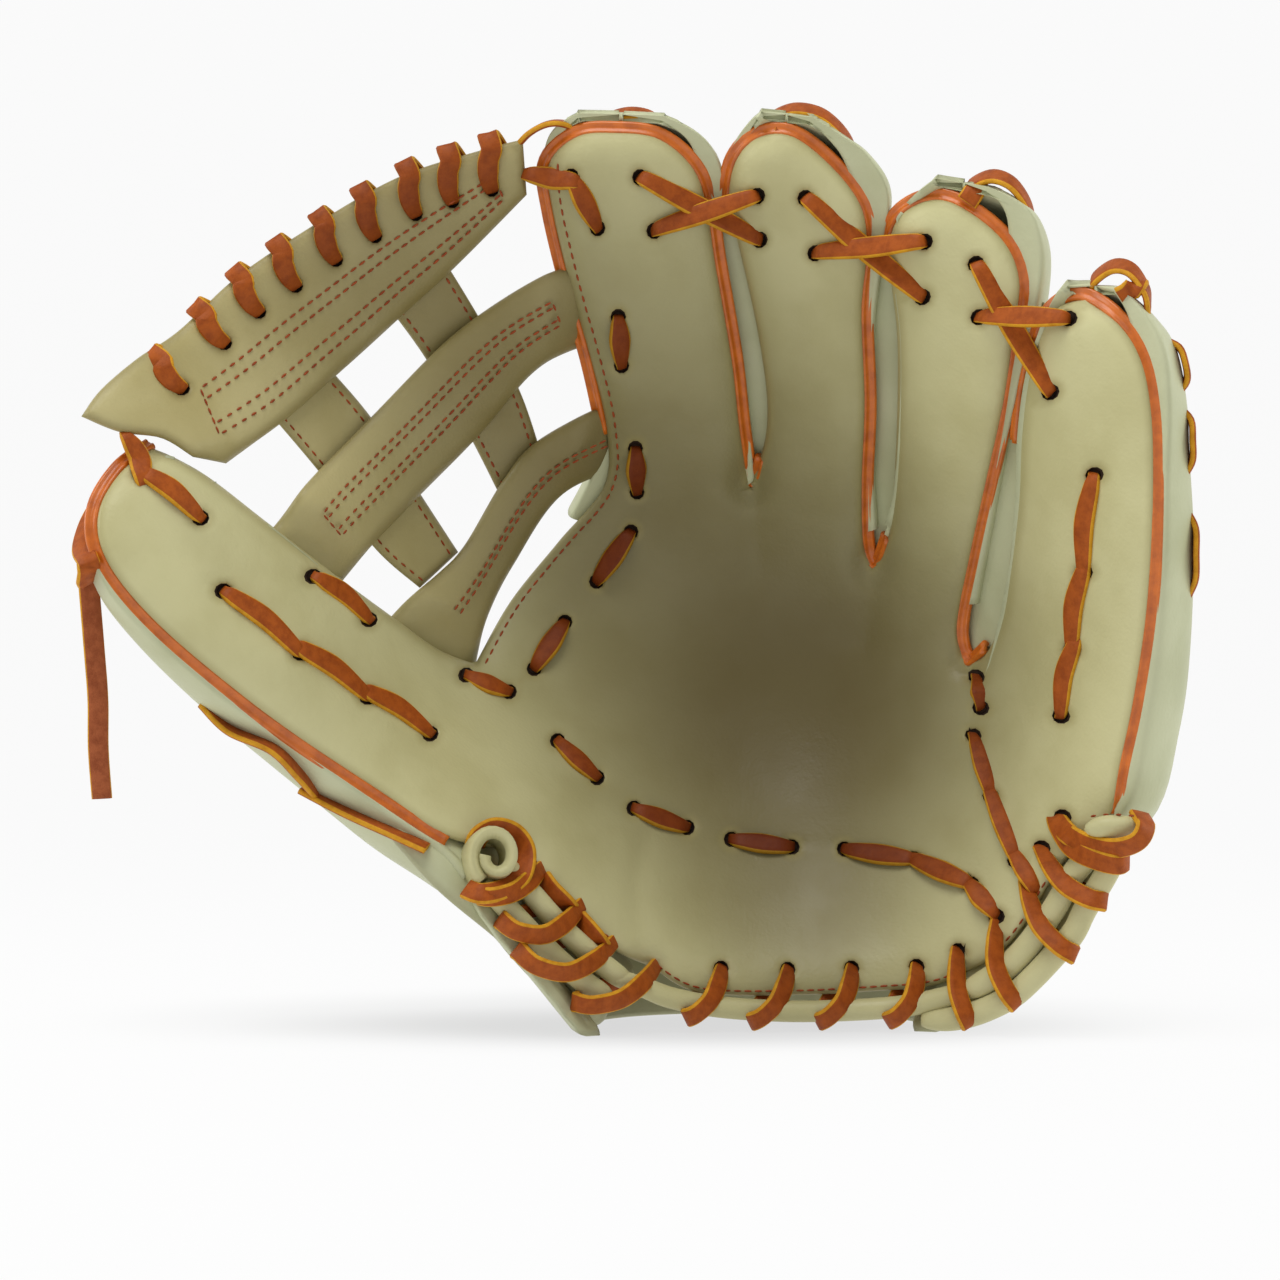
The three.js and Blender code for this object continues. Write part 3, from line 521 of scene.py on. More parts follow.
SIDE_RUNS = [[[109.5, 113], [110.5, 103]], [[108, 94], [112.5, 75]], [[111.5, 78], [119, 55]],
             [[117.5, 59], [125, 45]]]
TIP_RUNS = {
    "index_middle_lace": [[[0, 271], [38, 252]], [[4.5, 255], [37, 265]]],
    "middle_ring_lace": [[[52, 264], [89, 233]], [[55.5, 247.5], [89, 249.5]]],
    "ring_pinky_lace": [[[104.5, 242], [127.5, 202]], [[106, 226], [132, 224]]],
}
SHARED = 5              # holes closer than this are one hole
ends = [p for runs in (PALM_RUNS, INDEX_RUNS, WEB_FOOT_RUNS, THUMB_RUNS, PINKY_RUNS, SIDE_RUNS,
                       *TIP_RUNS.values()) for run in runs for p in run]
HEEL_HOLES = [[-31.5, 52.5], [-18.5, 40.5], [-8, 29], [5.5, 21.5], [26, 19.5], [47.5, 19],
              [68, 19.5], [88.5, 20.5], [101.5, 26], [113.5, 35.5], [122, 48.5], [126.5, 59.5],
              [132.5, 69.5]]
holes = []
for p in ends + HEEL_HOLES:
    if all(math.dist(p, q) > SHARED for q in holes):
        holes.append(p)


# ---- front leather: palm and fingers, thumb, little finger -----------------------------------
# One hide covers the whole open side. It is cut along the thumb and little-finger creases, where
# the pieces meet and fold, and keeps the uncut hide's shading across the cuts.
THICK = 4.0
HOLE = 2.0              # radius of a punched hole
whole = ring(INDEX_LEFT, MIDDLE_EDGE, RING_EDGE, PINKY_INNER, PINKY_OUTER, PINKY_HEEL, HEEL_EDGE,
             THUMB_HEEL[::-1], THUMB_OUTER[::-1], THUMB_INNER[::-1] + [[-54, 118]])
creases = [spline(THUMB_CREASE, 2.5), spline(PINKY_CREASE, 2.5)]
inner_holes = [h for h in holes if inside(np.array([h], float), whole)[0]
               and distance(np.array([h], float), closed(whole))[0] > 3.4]
verts, faces, edge = hide(whole, THICK, bowl, inner_holes, HOLE, 2.8, relief, creases)
uncut = piece("uncut", verts, faces, [front_hide], edge=edge)
normals = np.array([v.normal[:] for v in uncut.data.vertices])
bpy.data.objects.remove(uncut)

left_of = np.vstack([[[4, -100]], spline(THUMB_CREASE, 2.5), [[-60, 400], [-400, 400],
                                                                [-400, -100]]])
right_of = np.vstack([[[400, -100], [400, 400], [120, 400], [120, 240], [118.6, 221],
                       [117.7, 200], [116, 176], [112.5, 151], [109.5, 125]],
                      spline(PINKY_CREASE, 2.5), [[103, -100]]])
middles = np.array([verts[list(f)].mean(0)[[0, 2]] for f in faces])
region = np.where(inside(middles, left_of), 1, np.where(inside(middles, right_of), 2, 0))


def cut_from_hide(name, which, node):
    """The part of the hide in one region, closed along the crease."""
    half = len(verts) // 2
    mine = [f for f, r in zip(faces, region) if r == which and len(f) == 3]
    top = [f for f in mine if f[0] < half]
    used = sorted({i for f in top for i in f})
    place = {v: i for i, v in enumerate(used)}
    top = [tuple(place[i] for i in f) for f in top]
    pick = np.array(used + [i + half for i in used])
    body, sides = close_up(verts[used], verts[[i + half for i in used]], top)
    obj = piece(name, body, sides, [front_hide, hole_painted_shade], edge=edge[pick], instead=[node])
    obj.data.normals_split_custom_set_from_vertices(normals[pick].tolist())
    return obj


def dark_holes(obj, spots, wide=2.35):
    """Colours the walls of the punched holes dark, as painted shade."""
    mids = np.array([p.center[:] for p in obj.data.polygons]) / MM + MIDDLE
    for h in spots:
        near = np.where(np.linalg.norm(mids[:, [0, 2]] - np.array(h), axis=1) < wide)[0]
        for i in near:
            obj.data.polygons[int(i)].material_index = 1


palm_skin = cut_from_hide("palm_leather_front", 0, "palm_shell")
thumb_skin = cut_from_hide("thumb_leather_front", 1, "thumb_shell")
pinky_skin = cut_from_hide("little_finger_leather_front", 2, "pinky_shell")
for obj in (palm_skin, thumb_skin, pinky_skin):
    dark_holes(obj, inner_holes)
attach(palm_skin, "palm")


def shade_plugs(name, spots, body, blend=None, depth=None):
    """Dark discs at the bottoms of the punched holes, painted shade, so that no light shows
    through them.
    """
    sides, radius, height, sunk = 10, 2.3, 2.4, 2.2
    a = np.linspace(0, 2 * math.pi, sides, endpoint=False)
    quads = [(i, (i + 1) % sides, sides + (i + 1) % sides, sides + i) for i in range(sides)]
    quads += [tuple(reversed(range(sides))), tuple(range(sides, 2 * sides))]
    parts = []
    for x, z in spots:
        near = face_depth((x, z)) + sunk if depth is None else depth
        rims = [bowl(x + radius * np.cos(a), z + radius * np.sin(a), near + d)
                for d in (0, height)]
        parts.append((np.vstack(rims), quads, [0] * len(quads)))
    verts, faces, kinds = joined(parts)
    obj = piece(name, verts, faces, [hole_painted_shade], kinds, ride=None if blend else body)
    if blend:
        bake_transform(obj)


def at(x, z, depth=0.0):
    """Frame point, in metres, at a depth behind the bowl."""
    return tuple((bowl(x, z, depth) - MIDDLE) * MM)


# Points across each crease: at the crease and this far beyond it.
THUMB_FOLD = (at(-27, 66, 2), at(-45, 77, 2))
PINKY_FOLD = (at(106, 70, 2), at(130, 72, 2))
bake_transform(thumb_skin)
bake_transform(pinky_skin)
spots = np.array(inner_holes, float)
on_thumb = inside(spots, left_of)
on_little = inside(spots, right_of)
shade_plugs("palm_hole_plugs", spots[~on_thumb & ~on_little], "palm")
shade_plugs("thumb_hole_plugs", spots[on_thumb], "thumb", ("palm", "thumb", *THUMB_FOLD))
shade_plugs("little_finger_hole_plugs", spots[on_little], "pinky", ("palm", "pinky", *PINKY_FOLD))


# ---- laces of palm and fingers ---------------------------------------------------------------
# Flat rawhide thong, 7 mm wide and 2 mm thick. It is dyed tan on its face and left yellow where
# the strip was cut, and it is pulled tight over the leather from hole to hole.

# The face is streaky and dry, a warm orange brown, darker round the pocket with oil and with
# painted shade.
lace_top = rawhide("tan_rawhide_lace", "#AB5415", "#8E400A", oil_and_shade="#541A00")
# The cut edges show the raw yellow core and its fibres, darkened round the pocket the same way.
lace_edge = rawhide("raw_cut_lace_edge", "#D89C22", "#BC7E14", 0.65, 1.4, "#8A6408")
LACE_W, LACE_T = 3.4, 0.95    # half its width and half its thickness
FLAT = [[-LACE_W * 0.84, LACE_T], [-LACE_W * 0.4, LACE_T * 1.08], [LACE_W * 0.4, LACE_T * 1.08],
        [LACE_W * 0.84, LACE_T], [LACE_W, LACE_T * 0.45], [LACE_W, -LACE_T * 0.45],
        [LACE_W * 0.84, -LACE_T], [-LACE_W * 0.84, -LACE_T], [-LACE_W, -LACE_T * 0.45],
        [-LACE_W, LACE_T * 0.45]]
EDGES = {3, 4, 5, 8, 9}       # the sides of FLAT that are cut


def strip(path, across, section, widths=None, heights=None):
    """A section carried along a path. across points along the section's first coordinate."""
    path, across = np.asarray(path, float), np.asarray(across, float)
    along = np.gradient(path, axis=0)
    along /= np.maximum(np.linalg.norm(along, axis=1), 1e-9)[:, None]
    across = across - np.sum(across * along, 1)[:, None] * along
    across /= np.maximum(np.linalg.norm(across, axis=1), 1e-9)[:, None]
    up = np.cross(along, across)
    w = np.ones(len(path)) if widths is None else np.asarray(widths)
    h = np.ones(len(path)) if heights is None else np.asarray(heights)
    s = np.asarray(section, float)
    verts = (path[:, None] + across[:, None] * (s[None, :, :1] * w[:, None, None])
             + up[:, None] * (s[None, :, 1:] * h[:, None, None])).reshape(-1, 3)
    n, k = len(path), len(s)
    faces, kinds = [], []
    for i in range(n - 1):
        for j in range(k):
            a, b = i * k + j, i * k + (j + 1) % k
            faces.append((a, b, b + k, a + k))
            kinds.append(j)
    faces.append(tuple(reversed(range(k))))
    faces.append(tuple(range((n - 1) * k, n * k)))
    kinds += [-1, -1]
    return verts, faces, kinds


def lace_parts(path, across, widths=None):
    """One stretch of lace, with its cut sides marked for the edge material."""
    verts, faces, kinds = strip(path, across, FLAT, widths)
    return verts, faces, [1 if k in EDGES or k < 0 else 0 for k in kinds]


def lace_piece(name, parts, ride=None, instead=()):
    """One piece from stretches of lace."""
    verts, faces, kinds = joined(parts)
    return piece(name, verts, faces, [lace_top, lace_edge], kinds, instead=instead, ride=ride)


def run_over(a, b, lift=1.9, lean=0.40, tuck=4.6, wide=1.0, rise=None, bow=0.0):
    """A lace run from hole a to hole b: out of one, flat over the leather, down the other.
    lean tilts it so that its lower edge shows."""
    a, b = np.array(a, float), np.array(b, float)
    span = np.linalg.norm(b - a)
    d = (b - a) / span
    marks, depths, widths = [], [], []
    side = np.array([-d[1], d[0]]) * bow
    for t, depth, w in ((-0.6, tuck + 1.2, 0.5), (0.3, tuck * 0.3, 0.52), (3.0, -lift * 0.7, 0.82),
                        (span * 0.5, -lift, 1.06), (span - 3.0, -lift * 0.7, 0.82),
                        (span - 0.3, tuck * 0.3, 0.52), (span + 0.6, tuck + 1.2, 0.5)):
        p = a + d * t + side * math.sin(math.pi * min(max(t / span, 0), 1))
        marks.append(p)
        extra = rise(t / span) if rise else 0
        depths.append(max(0, face_depth(p)) + depth - (extra if 0 < t < span else 0))
        widths.append(w * wide)
    marks = np.array(marks)
    points = bowl(marks[:, 0], marks[:, 1], np.array(depths))
    path = spline(np.hstack([points, np.array(widths)[:, None]]), 1.1)
    n = facing(path[:, 0], path[:, 2]) * 0.35 + np.array([0, -0.65, 0])
    n /= np.linalg.norm(n, axis=1)[:, None]
    d3 = np.array([d[0], 0, d[1]])
    across = np.cross(n, np.tile(d3, (len(path), 1)))
    across /= np.linalg.norm(across, axis=1)[:, None]
    if across[len(path) // 2, 2] > 0:
        lean = -lean
    across = across * math.cos(lean) + n * math.sin(lean)
    return lace_parts(path[:, :3], across, path[:, 3])


def lace(name, runs, nodes, body, **how):
    """All the runs of one lace."""
    return lace_piece(name, [run_over(a, b, **how) for a, b in runs], body, nodes)


lace("palm_lace_run", PALM_RUNS, ["palm_lace"], "palm")
lace("index_side_lace_run", INDEX_RUNS + WEB_FOOT_RUNS + [[[-37, 272.5], [-18.5, 269.5]]],
     ["index_web_lace"], "palm")
lace("thumb_side_lace_run", THUMB_RUNS + [[[-157.5, 188], [-151.5, 172]]], ["thumb_web_lace"],
     "thumb", bow=1.6)
lace("little_finger_lace_run", PINKY_RUNS, ["pinky_side_lace"], "pinky", bow=-1.6)
side_lace = lace("palm_side_lace_run", SIDE_RUNS, [], None, wide=0.85)
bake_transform(side_lace)


def crossing(name, node, body):
    """Two runs that bridge the gap between two fingertips, one over the other."""
    under, over = TIP_RUNS[node]
    return lace_piece(name, [
        run_over(*under, lift=1.8, rise=lambda t: 1.6 * math.sin(math.pi * t)),
        run_over(*over, lift=2.6, wide=0.95, rise=lambda t: 5.0 * math.sin(math.pi * t))],
        body, [node])


crossing("index_middle_tip_lace", "index_middle_lace", "palm")
crossing("middle_ring_tip_lace", "middle_ring_lace", "palm")
tip = crossing("ring_little_tip_lace", "ring_pinky_lace", None)
at(110, 222)
at(126, 222)
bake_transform(tip)


# ---- piping ----------------------------------------------------------------------------------
# Thin orange leather folded over a cord and sewn into each finger seam, between the front and
# the back leather. It shows as two glossy lobes with the seam's valley between them.
def welting():
    """Dyed orange leather with a glossy finish, its tone mottled where it was stretched."""
    material, tree, shader, where = new_material("orange_piping_leather")
    tone = noise(tree, where, 0.006, 4, 0.6)
    base = mix(tree, ramp(tree, tone, 0.3, 0.75), to_linear("#D46E18"), to_linear("#B2560E"))
    tree.links.new(base, shader.inputs["Base Color"])
    tree.links.new(bump(tree, tone, 0.0003, 0.5), shader.inputs["Normal"])
    shader.inputs["Roughness"].default_value = 0.36
    shader.inputs["Coat Weight"].default_value = 0.15
    shader.inputs["Coat Roughness"].default_value = 0.25
    return material


piping = welting()


LOBES = [[side * (1.5 + 1.1 * math.cos(a)), side * 1.25 * math.sin(a)]
         for side in (1, -1) for a in np.linspace(-2.5, 2.5, 9)]
LOBES = [[x * 0.92, y * 1.05] for x, y in LOBES]


def offset_line(edge, out, step=1.6):
    """A line beside an edge, out mm to its left."""
    line = spline(edge, step)
    along = np.gradient(line, axis=0)
    along /= np.linalg.norm(along, axis=1)[:, None]
    return line + out * np.stack([-along[:, 1], along[:, 0]], 1)


SEAM_DEPTH, PIPING_TILT = 3.4, 0.6    # how far back the seam lies, and the piping's turn in it


def welt(name, edge, out, node, body):
    """Piping beside a finger's edge."""
    line = offset_line(edge, out)
    deep = relief(offset_line(edge, 0)) + SEAM_DEPTH
    path = bowl(line[:, 0], line[:, 1], deep)
    n = facing(line[:, 0], line[:, 1])
    along = np.gradient(path, axis=0)
    across = np.cross(n, along)
    tilt = math.copysign(PIPING_TILT, out)
    across /= np.linalg.norm(across, axis=1)[:, None]
    across = across * math.cos(tilt) - n * math.sin(tilt)
    verts, faces, kinds = strip(path, across, LOBES)
    return piece(name, verts, faces, [piping], [0] * len(faces), instead=[node], ride=body)


welt("index_piping", INDEX_LEFT[4:] + [[39.5, 178], [41.5, 185]], 1.4, "index_welt", "palm")
welt("middle_piping", MIDDLE_EDGE[5:] + [[80, 151], [82.5, 159]], 1.4, "middle_welt", "palm")
welt("ring_piping", RING_EDGE[5:] + [[110, 118], [113.5, 122]], 1.4, "ring_welt", "palm")
welt("thumb_piping", THUMB_OUTER[:-1], -1.6, "thumb_welt", "thumb")
welt("little_finger_piping", PINKY_INNER[5:] + PINKY_OUTER[1:], 1.4, "pinky_welt", "pinky")


# ---- seams of the front leather --------------------------------------------------------------
# The leathers are lock-stitched with thick waxed polyester thread, about 7 stitches to the inch.
# Each stitch lies as a small bead pulled into the leather.
thread = rawhide("waxed_thread", "#A24A22", "#7E3416", 0.5, 0.5)
PITCH = 3.4                     # from stitch to stitch
BEAD = (1.25, 0.42, 0.34)       # half a stitch's length, width and height


def stitches(line, surface, body_up):
    """Thread stitches along a line of (u, v) points on a surface."""
    line = spline(line, PITCH)
    rings, sides = 5, 6
    base = []
    for i in range(rings):
        a = math.pi * i / (rings - 1)
        for j in range(sides):
            b = 2 * math.pi * j / sides
            r = max(0.12, math.sin(a))
            base.append([-math.cos(a), r * math.cos(b), r * math.sin(b)])
    base = np.array(base) * np.array(BEAD)
    quads = [(i * sides + j, i * sides + (j + 1) % sides, (i + 1) * sides + (j + 1) % sides,
              (i + 1) * sides + j) for i in range(rings - 1) for j in range(sides)]
    quads += [tuple(reversed(range(sides))), tuple(range((rings - 1) * sides, rings * sides))]
    parts = []
    for p, q in zip(line[:-1], line[1:]):
        a, b = surface(p), surface(q)
        d = (b - a) / max(np.linalg.norm(b - a), 1e-9)
        up = body_up((p + q) / 2)
        side = np.cross(up, d)
        side /= np.linalg.norm(side)
        up = np.cross(d, side)
        verts = (a + b) / 2 + base[:, :1] * d + base[:, 1:2] * side + base[:, 2:] * up
        parts.append((verts, quads, [0] * len(quads)))
    return joined(parts)


def sew(name, lines, depth, body, blend=None, on_relief=True):
    """Rows of stitches on the front leather or on a web strap."""
    def surface(p):
        return bowl(p[0], p[1], depth + (face_depth(p) if on_relief else 0))
    verts, faces, kinds = joined(
        [stitches(np.array(line, float), surface, lambda p: facing(p[0], p[1]))
         for line in lines])
    obj = piece(name, verts, faces, [thread], kinds, ride=None if blend else body)
    if blend:
        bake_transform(obj)
    return obj


# The heel seam in its three parts, and the web-side seam of the index finger.
PULLED_IN = -0.1                # a stitch's depth against the leather's face
for name, edge_line, out, step, body in (
        ("heel_seam_stitches", HEEL_EDGE, -1.6, 6, "palm"),
        ("little_finger_heel_stitches", PINKY_HEEL[2:-1], -1.6, 6, "pinky"),
        ("thumb_heel_stitches", THUMB_HEEL[:-1], 1.6, 6, "thumb"),
        ("index_side_seam_stitches", INDEX_LEFT[:9], -3.0, 8, "palm")):
    sew(name, [offset_line(edge_line, out, step)], PULLED_IN, body)


# ---- web -------------------------------------------------------------------------------------
# Two-bar web of strap leather: a stitched top bar, a padded middle bar and a wide lower bar, sewn
# over two flat posts. It is laced between the index finger and the thumb.

# Web straps: the same steerhide, pressed flat and a little browner, darkened towards the pocket by
# oil stains and by painted shade.
web_hide = leather("cream_strap_leather", "#B9AE7C", "#AB9F6B", "#7D7040", 0.45, 0.9)
WEB_FOLD = ("palm", "thumb", at(-14, 215, 4), at(-118, 165, 4))
TOP_BAR = ring([[-170, 193], [-165, 201.5], [-155, 212], [-144, 221], [-126, 240], [-101, 258],
                [-76, 272], [-50, 280], [-37, 283]], [[-37, 283], [-36, 266.5]],
               [[-36, 266.5], [-60, 244], [-77, 229], [-97, 210], [-113, 194], [-129, 180]],
               [[-129, 180], [-138, 181.5]], [[-138, 181.5], [-147, 187], [-159, 188.5],
                                              [-170, 193]])
MIDDLE_BAR = ring([[-118, 158], [-112, 166], [-99, 183], [-70, 215], [-52, 230], [-29, 243],
                   [-14, 246]], [[-14, 246], [-8, 224]],
                  [[-8, 224], [-23, 219], [-36, 211], [-52, 193], [-72, 172], [-91, 150],
                   [-97, 142]], [[-97, 142], [-118, 158]])
LOWER_BAR = ring([[-84, 129], [-77, 137], [-66, 147], [-58, 156], [-45, 178], [-33, 191],
                  [-4, 206]], [[-4, 206], [-2, 184]],
                 [[-2, 184], [-26, 173], [-42, 150], [-50, 134], [-54, 120], [-55, 112]],
                 [[-55, 112], [-84, 129]])
THUMB_POST_EDGES = ([[-120, 200], [-102, 178], [-86, 155], [-72, 142]],
                    [[-60, 154], [-72, 173], [-87, 197], [-104, 217]])
INDEX_POST_EDGES = ([[-84, 236], [-70, 217], [-56, 192], [-47, 174]],
                    [[-33, 188], [-40, 208], [-53, 231], [-66, 252]])
THUMB_POST, INDEX_POST = (ring(down, [down[-1], up[0]], up, [up[-1], down[0]])
                          for down, up in (THUMB_POST_EDGES, INDEX_POST_EDGES))


def puffed(outline, width, drop, dives=()):
    """Relief of a strap whose middle stands proud of its edges. dives are lines where an end of
    the strap goes down behind its neighbour: [line, width, depth]."""
    def depth(points):
        t = np.clip(distance(points, closed(outline)) / width, 0, 1)
        out = drop * (1 - t) ** 2
        for line, reach, deep in dives:
            t = np.clip(1 - distance(points, np.array(line, float)) / reach, 0, 1)
            out = out + deep * t * t * (3 - 2 * t)
        return out
    return depth


# Where the crown lace goes over the top bar's upper edge.
CROWN = [[-50, 279], [-63, 275.5], [-76, 271], [-90, 263.5], [-103, 255.5], [-116, 246.5],
         [-128, 237], [-139, 225.5], [-151, 210]]


def inwards(line, i, d):
    """Point i of a line, moved d mm square to it."""
    a, b = np.array(line[max(0, i - 1)]), np.array(line[min(len(line) - 1, i + 1)])
    n = np.array([-(b - a)[1], (b - a)[0]]) / np.linalg.norm(b - a)
    return np.array(line[i]) + n * d


CROWN_HOLE, CROWN_INSET = 1.9, 11.5    # the holes' radius, and how far below the edge they are
crown_holes = [inwards(CROWN, i, CROWN_INSET) for i in range(len(CROWN))]


def web(name, outline, thick, near, node, width, drop, holes=(), dives=()):
    """A strap of the web, near mm behind the bowl."""
    verts, faces, edge = hide(outline, thick, behind(near), holes, CROWN_HOLE, 2.4,
                              puffed(outline, width, drop, dives))
    obj = piece(name, verts, faces, [web_hide, hole_painted_shade], edge=edge, instead=[node])
    dark_holes(obj, holes, 2.2)
    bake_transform(obj)
    return obj


web("web_top_bar_leather", TOP_BAR, 5.0, -1.0, "web_top_bar", 7, 2.0, crown_holes,
    [[[[-136, 172], [-122, 176]], 12, 7]])
shade_plugs("web_hole_plugs", crown_holes, None, WEB_FOLD, 2.2)
web("web_middle_bar_leather", MIDDLE_BAR, 5.4, -3.2, "web_middle_bar", 12, 4.5, (),
    [[[[-10, 252], [-10, 208]], 22, 15], [[[-116, 160], [-90, 140]], 17, 14]])
web("web_lower_bar_leather", LOWER_BAR, 5.4, -2.6, "web_lower_bar", 12, 4.5, (),
    [[[[0, 212], [-4, 176]], 20, 15], [[[-84, 132], [-52, 112]], 17, 14]])
web("web_thumb_post_leather", THUMB_POST, 3.0, 6.5, "web_post_thumb_side", 2, 0.4)
web("web_index_post_leather", INDEX_POST, 3.0, 6.5, "web_post_index_side", 2, 0.4)


def between(a, b, share):
    """Line a share of the way from one edge to another that runs beside it."""
    p, q = spline(a, 1.0), spline(b, 1.0)
    p, q = (e[np.linspace(0, len(e) - 1, 24).astype(int)] for e in (p, q))
    return p + (q - p) * share


# Rows of stitches along the bars: two pairs joined at their ends on the upper bars, one pair on
# the lowest. Each bar has its upper and lower edge, where its rows run between them, and its face.
for name, upper, lower, shares, face in (
        ("web_top_bar_stitches",
         [[-144, 221], [-126, 240], [-101, 258], [-76, 272], [-50, 280]],
         [[-128, 183], [-113, 194], [-97, 210], [-77, 229], [-60, 244], [-42, 262]],
         (0.47, 0.56, 0.76, 0.85), -1.25),
        ("web_middle_bar_stitches",
         [[-106, 172], [-99, 183], [-70, 215], [-52, 230], [-31, 241]],
         [[-90, 152], [-72, 172], [-52, 193], [-36, 211], [-23, 220]],
         (0.36, 0.44, 0.62, 0.70), -3.35),
        ("web_lower_bar_stitches",
         [[-72, 142], [-58, 156], [-45, 178], [-33, 191], [-14, 201]],
         [[-52, 128], [-42, 150], [-26, 172], [-8, 182]],
         (0.55, 0.64), -2.75)):
    rows = [between(upper, lower, share) for share in shares]
    if len(rows) == 4:
        rows += [[rows[0][0], rows[3][0]], [rows[0][-1], rows[3][-1]]]
    sew(name, rows, face, None, blend=WEB_FOLD, on_relief=False)
sew("web_post_stitches", [offset_line(e, 2.5, 6) for e in THUMB_POST_EDGES + INDEX_POST_EDGES],
    6.4, None, blend=WEB_FOLD, on_relief=False)


# ---- crown lace ------------------------------------------------------------------------------
# The same rawhide, whipped over the top bar's upper edge and pulled through a hole each time, so
# that it holds the bar between the thumb and the index finger.
parts = []
for i in range(len(CROWN)):
    hole = crown_holes[i]
    top = inwards(CROWN, i, -4.2)
    lead = np.array([3.2, 1.2])
    marks = [hole - lead * 0.1, hole, hole + (top - hole) * 0.2, (hole + top) / 2 + lead * 0.4,
             inwards(CROWN, i, 0.5) + lead, top + lead, inwards(CROWN, i, 1) + lead * 1.6,
             hole + lead * 2.2]
    depths = [3.5, 0.2, -2.6, -3.0, -2.6, 1.6, 6.0, 6.6]
    points = np.array([bowl(m[0], m[1], d) for m, d in zip(marks, depths)])
    path = spline(points, 1.1)
    along2 = (top - hole) / np.linalg.norm(top - hole)
    across = np.tile([along2[1], 0.12, -along2[0]], (len(path), 1))
    widths = np.interp(np.linspace(0, 1, len(path)), [0, 0.08, 0.25, 1], [0.6, 0.7, 1, 1])
    parts.append(lace_parts(path, across, widths))
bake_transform(lace_piece("crown_lace_whipping", parts, instead=["web_crown_lace"]))


# ---- finger backs ----------------------------------------------------------------------------
# The back of each finger is a hollow stall of the same hide, moulded round a last and sewn to the
# front leather behind the piping.

# The same hide for the backs, a little duller, its colour made paler and greener than the front's
# to paint the pale rim light on the back shells.
rim_lit_back_hide = leather("cream_steerhide_back_rim_lit", "#C2C4A0", "#B5B791", "#948F6A", rough=0.47)
# Ribs of each finger's back, from base to tip: left x, z, right x, z of its edges and its depth.
INDEX_RIBS = [[-22, 164, 37, 176, 42], [-13, 182, 35, 190, 40], [-13, 200, 33, 204, 37],
              [-17, 218, 29, 218, 34], [-22, 237, 25, 237, 32], [-27, 256, 22, 253, 30],
              [-29, 271, 24, 268, 26], [-27, 283, 18, 281, 19], [-18, 289, 5, 288, 11]]
MIDDLE_RIBS = [[39, 178, 75, 160, 42], [42, 190, 73, 181, 40], [43, 205, 72, 202, 37],
               [38, 225, 72, 225, 34], [33, 247, 74, 246, 31], [28, 264, 75, 263, 27],
               [29, 276, 68, 275, 22], [34, 284, 59, 282, 15], [39, 288.5, 51, 287, 10]]
RING_RIBS = [[79, 158, 106, 136, 42], [83, 172, 109, 160, 40], [84, 190, 112, 183, 37],
             [84, 205, 115, 200, 34], [83, 223, 119, 221, 32], [80, 243, 121, 240, 28],
             [81, 256, 118, 253, 22], [86, 263, 112, 260, 14], [92, 267, 105, 264, 10]]
THUMB_RIBS = [[-52, 54, -34, 80, 34], [-60, 62, -48, 102, 40], [-76, 73, -64, 120, 42],
              [-101, 91, -84, 134, 40], [-124, 109, -104, 151, 38], [-144, 127, -121, 165, 34],
              [-157, 142, -135, 176, 30], [-163, 156, -147, 181, 23], [-162, 169, -155, 178, 13]]
PINKY_RIBS = [[107, 52, 128, 50, 34], [107, 80, 147, 74, 40], [109, 103, 153, 99, 42],
              [114, 124, 156, 122, 40], [118, 150, 157, 150, 38], [119, 172, 157, 175, 35],
              [119, 190, 157, 195, 32], [121, 208, 155, 212, 27], [126, 224, 149, 224, 19],
              [131, 233, 142, 232, 11]]
LEAN = 0.38             # how far the backs lean towards the back of the hand
RIB_ROWS, RIB_COLS, TIP_SMOOTHING = 64, 56, 8
BACK_THICK, SEAM_GAP, EASE = 2.6, 8.0, 2.2    # leather, space behind the bowl, and loose fit


def catmull(values, t):
    """Smooth value at t from 0 to 1 along evenly numbered rows."""
    v = np.asarray(values, float)
    p = min(max(t, 0.0), 1.0) * (len(v) - 1)
    i = min(int(p), len(v) - 2)
    w = p - i
    a, b, c, d = v[max(i - 1, 0)], v[i], v[i + 1], v[min(i + 2, len(v) - 1)]
    return 0.5 * (2 * b + (c - a) * w + (2 * a - 5 * b + 4 * c - d) * w * w
                  + (3 * b - a - 3 * c + d) * w ** 3)


def rib_at(ribs, t):
    """Centre, sideways and backward directions and half sizes of a finger at t."""
    def edges(u):
        r = catmull(ribs, u)
        return bowl(r[0], r[1]), bowl(r[2], r[3]), r[4]
    left, right, depth = edges(t)
    (la, ra, _), (lb, rb, _) = edges(t - 0.04), edges(t + 0.04)
    across = right - left
    half = np.linalg.norm(across) / 2
    across = across / (2 * half)
    along = (lb + rb - la - ra)
    along /= np.linalg.norm(along)
    back = np.cross(across, along)
    back = back * (1 if back[1] > 0 else -1)
    back = back / np.linalg.norm(back) * (1 - LEAN) + np.array([0, LEAN, 0])
    back /= np.linalg.norm(back)
    return (left + right) / 2 + back * depth * 0.4, across, back, half, depth * 0.6


def on_rib(ribs, t, degrees, extra=2.0, lift=0.0):
    """Points on a finger's back: 0 degrees is its right edge, 90 the middle of its back."""
    centre, across, back, half, deep = rib_at(ribs, t)
    a = np.radians(degrees)
    c, s = (np.sign(v) * np.abs(v) ** 0.8 for v in (np.cos(a), np.sin(a)))
    return (centre + across * (max(2, half + extra + lift) * c)[..., None]
            + back * (max(2, deep + lift) * s)[..., None])


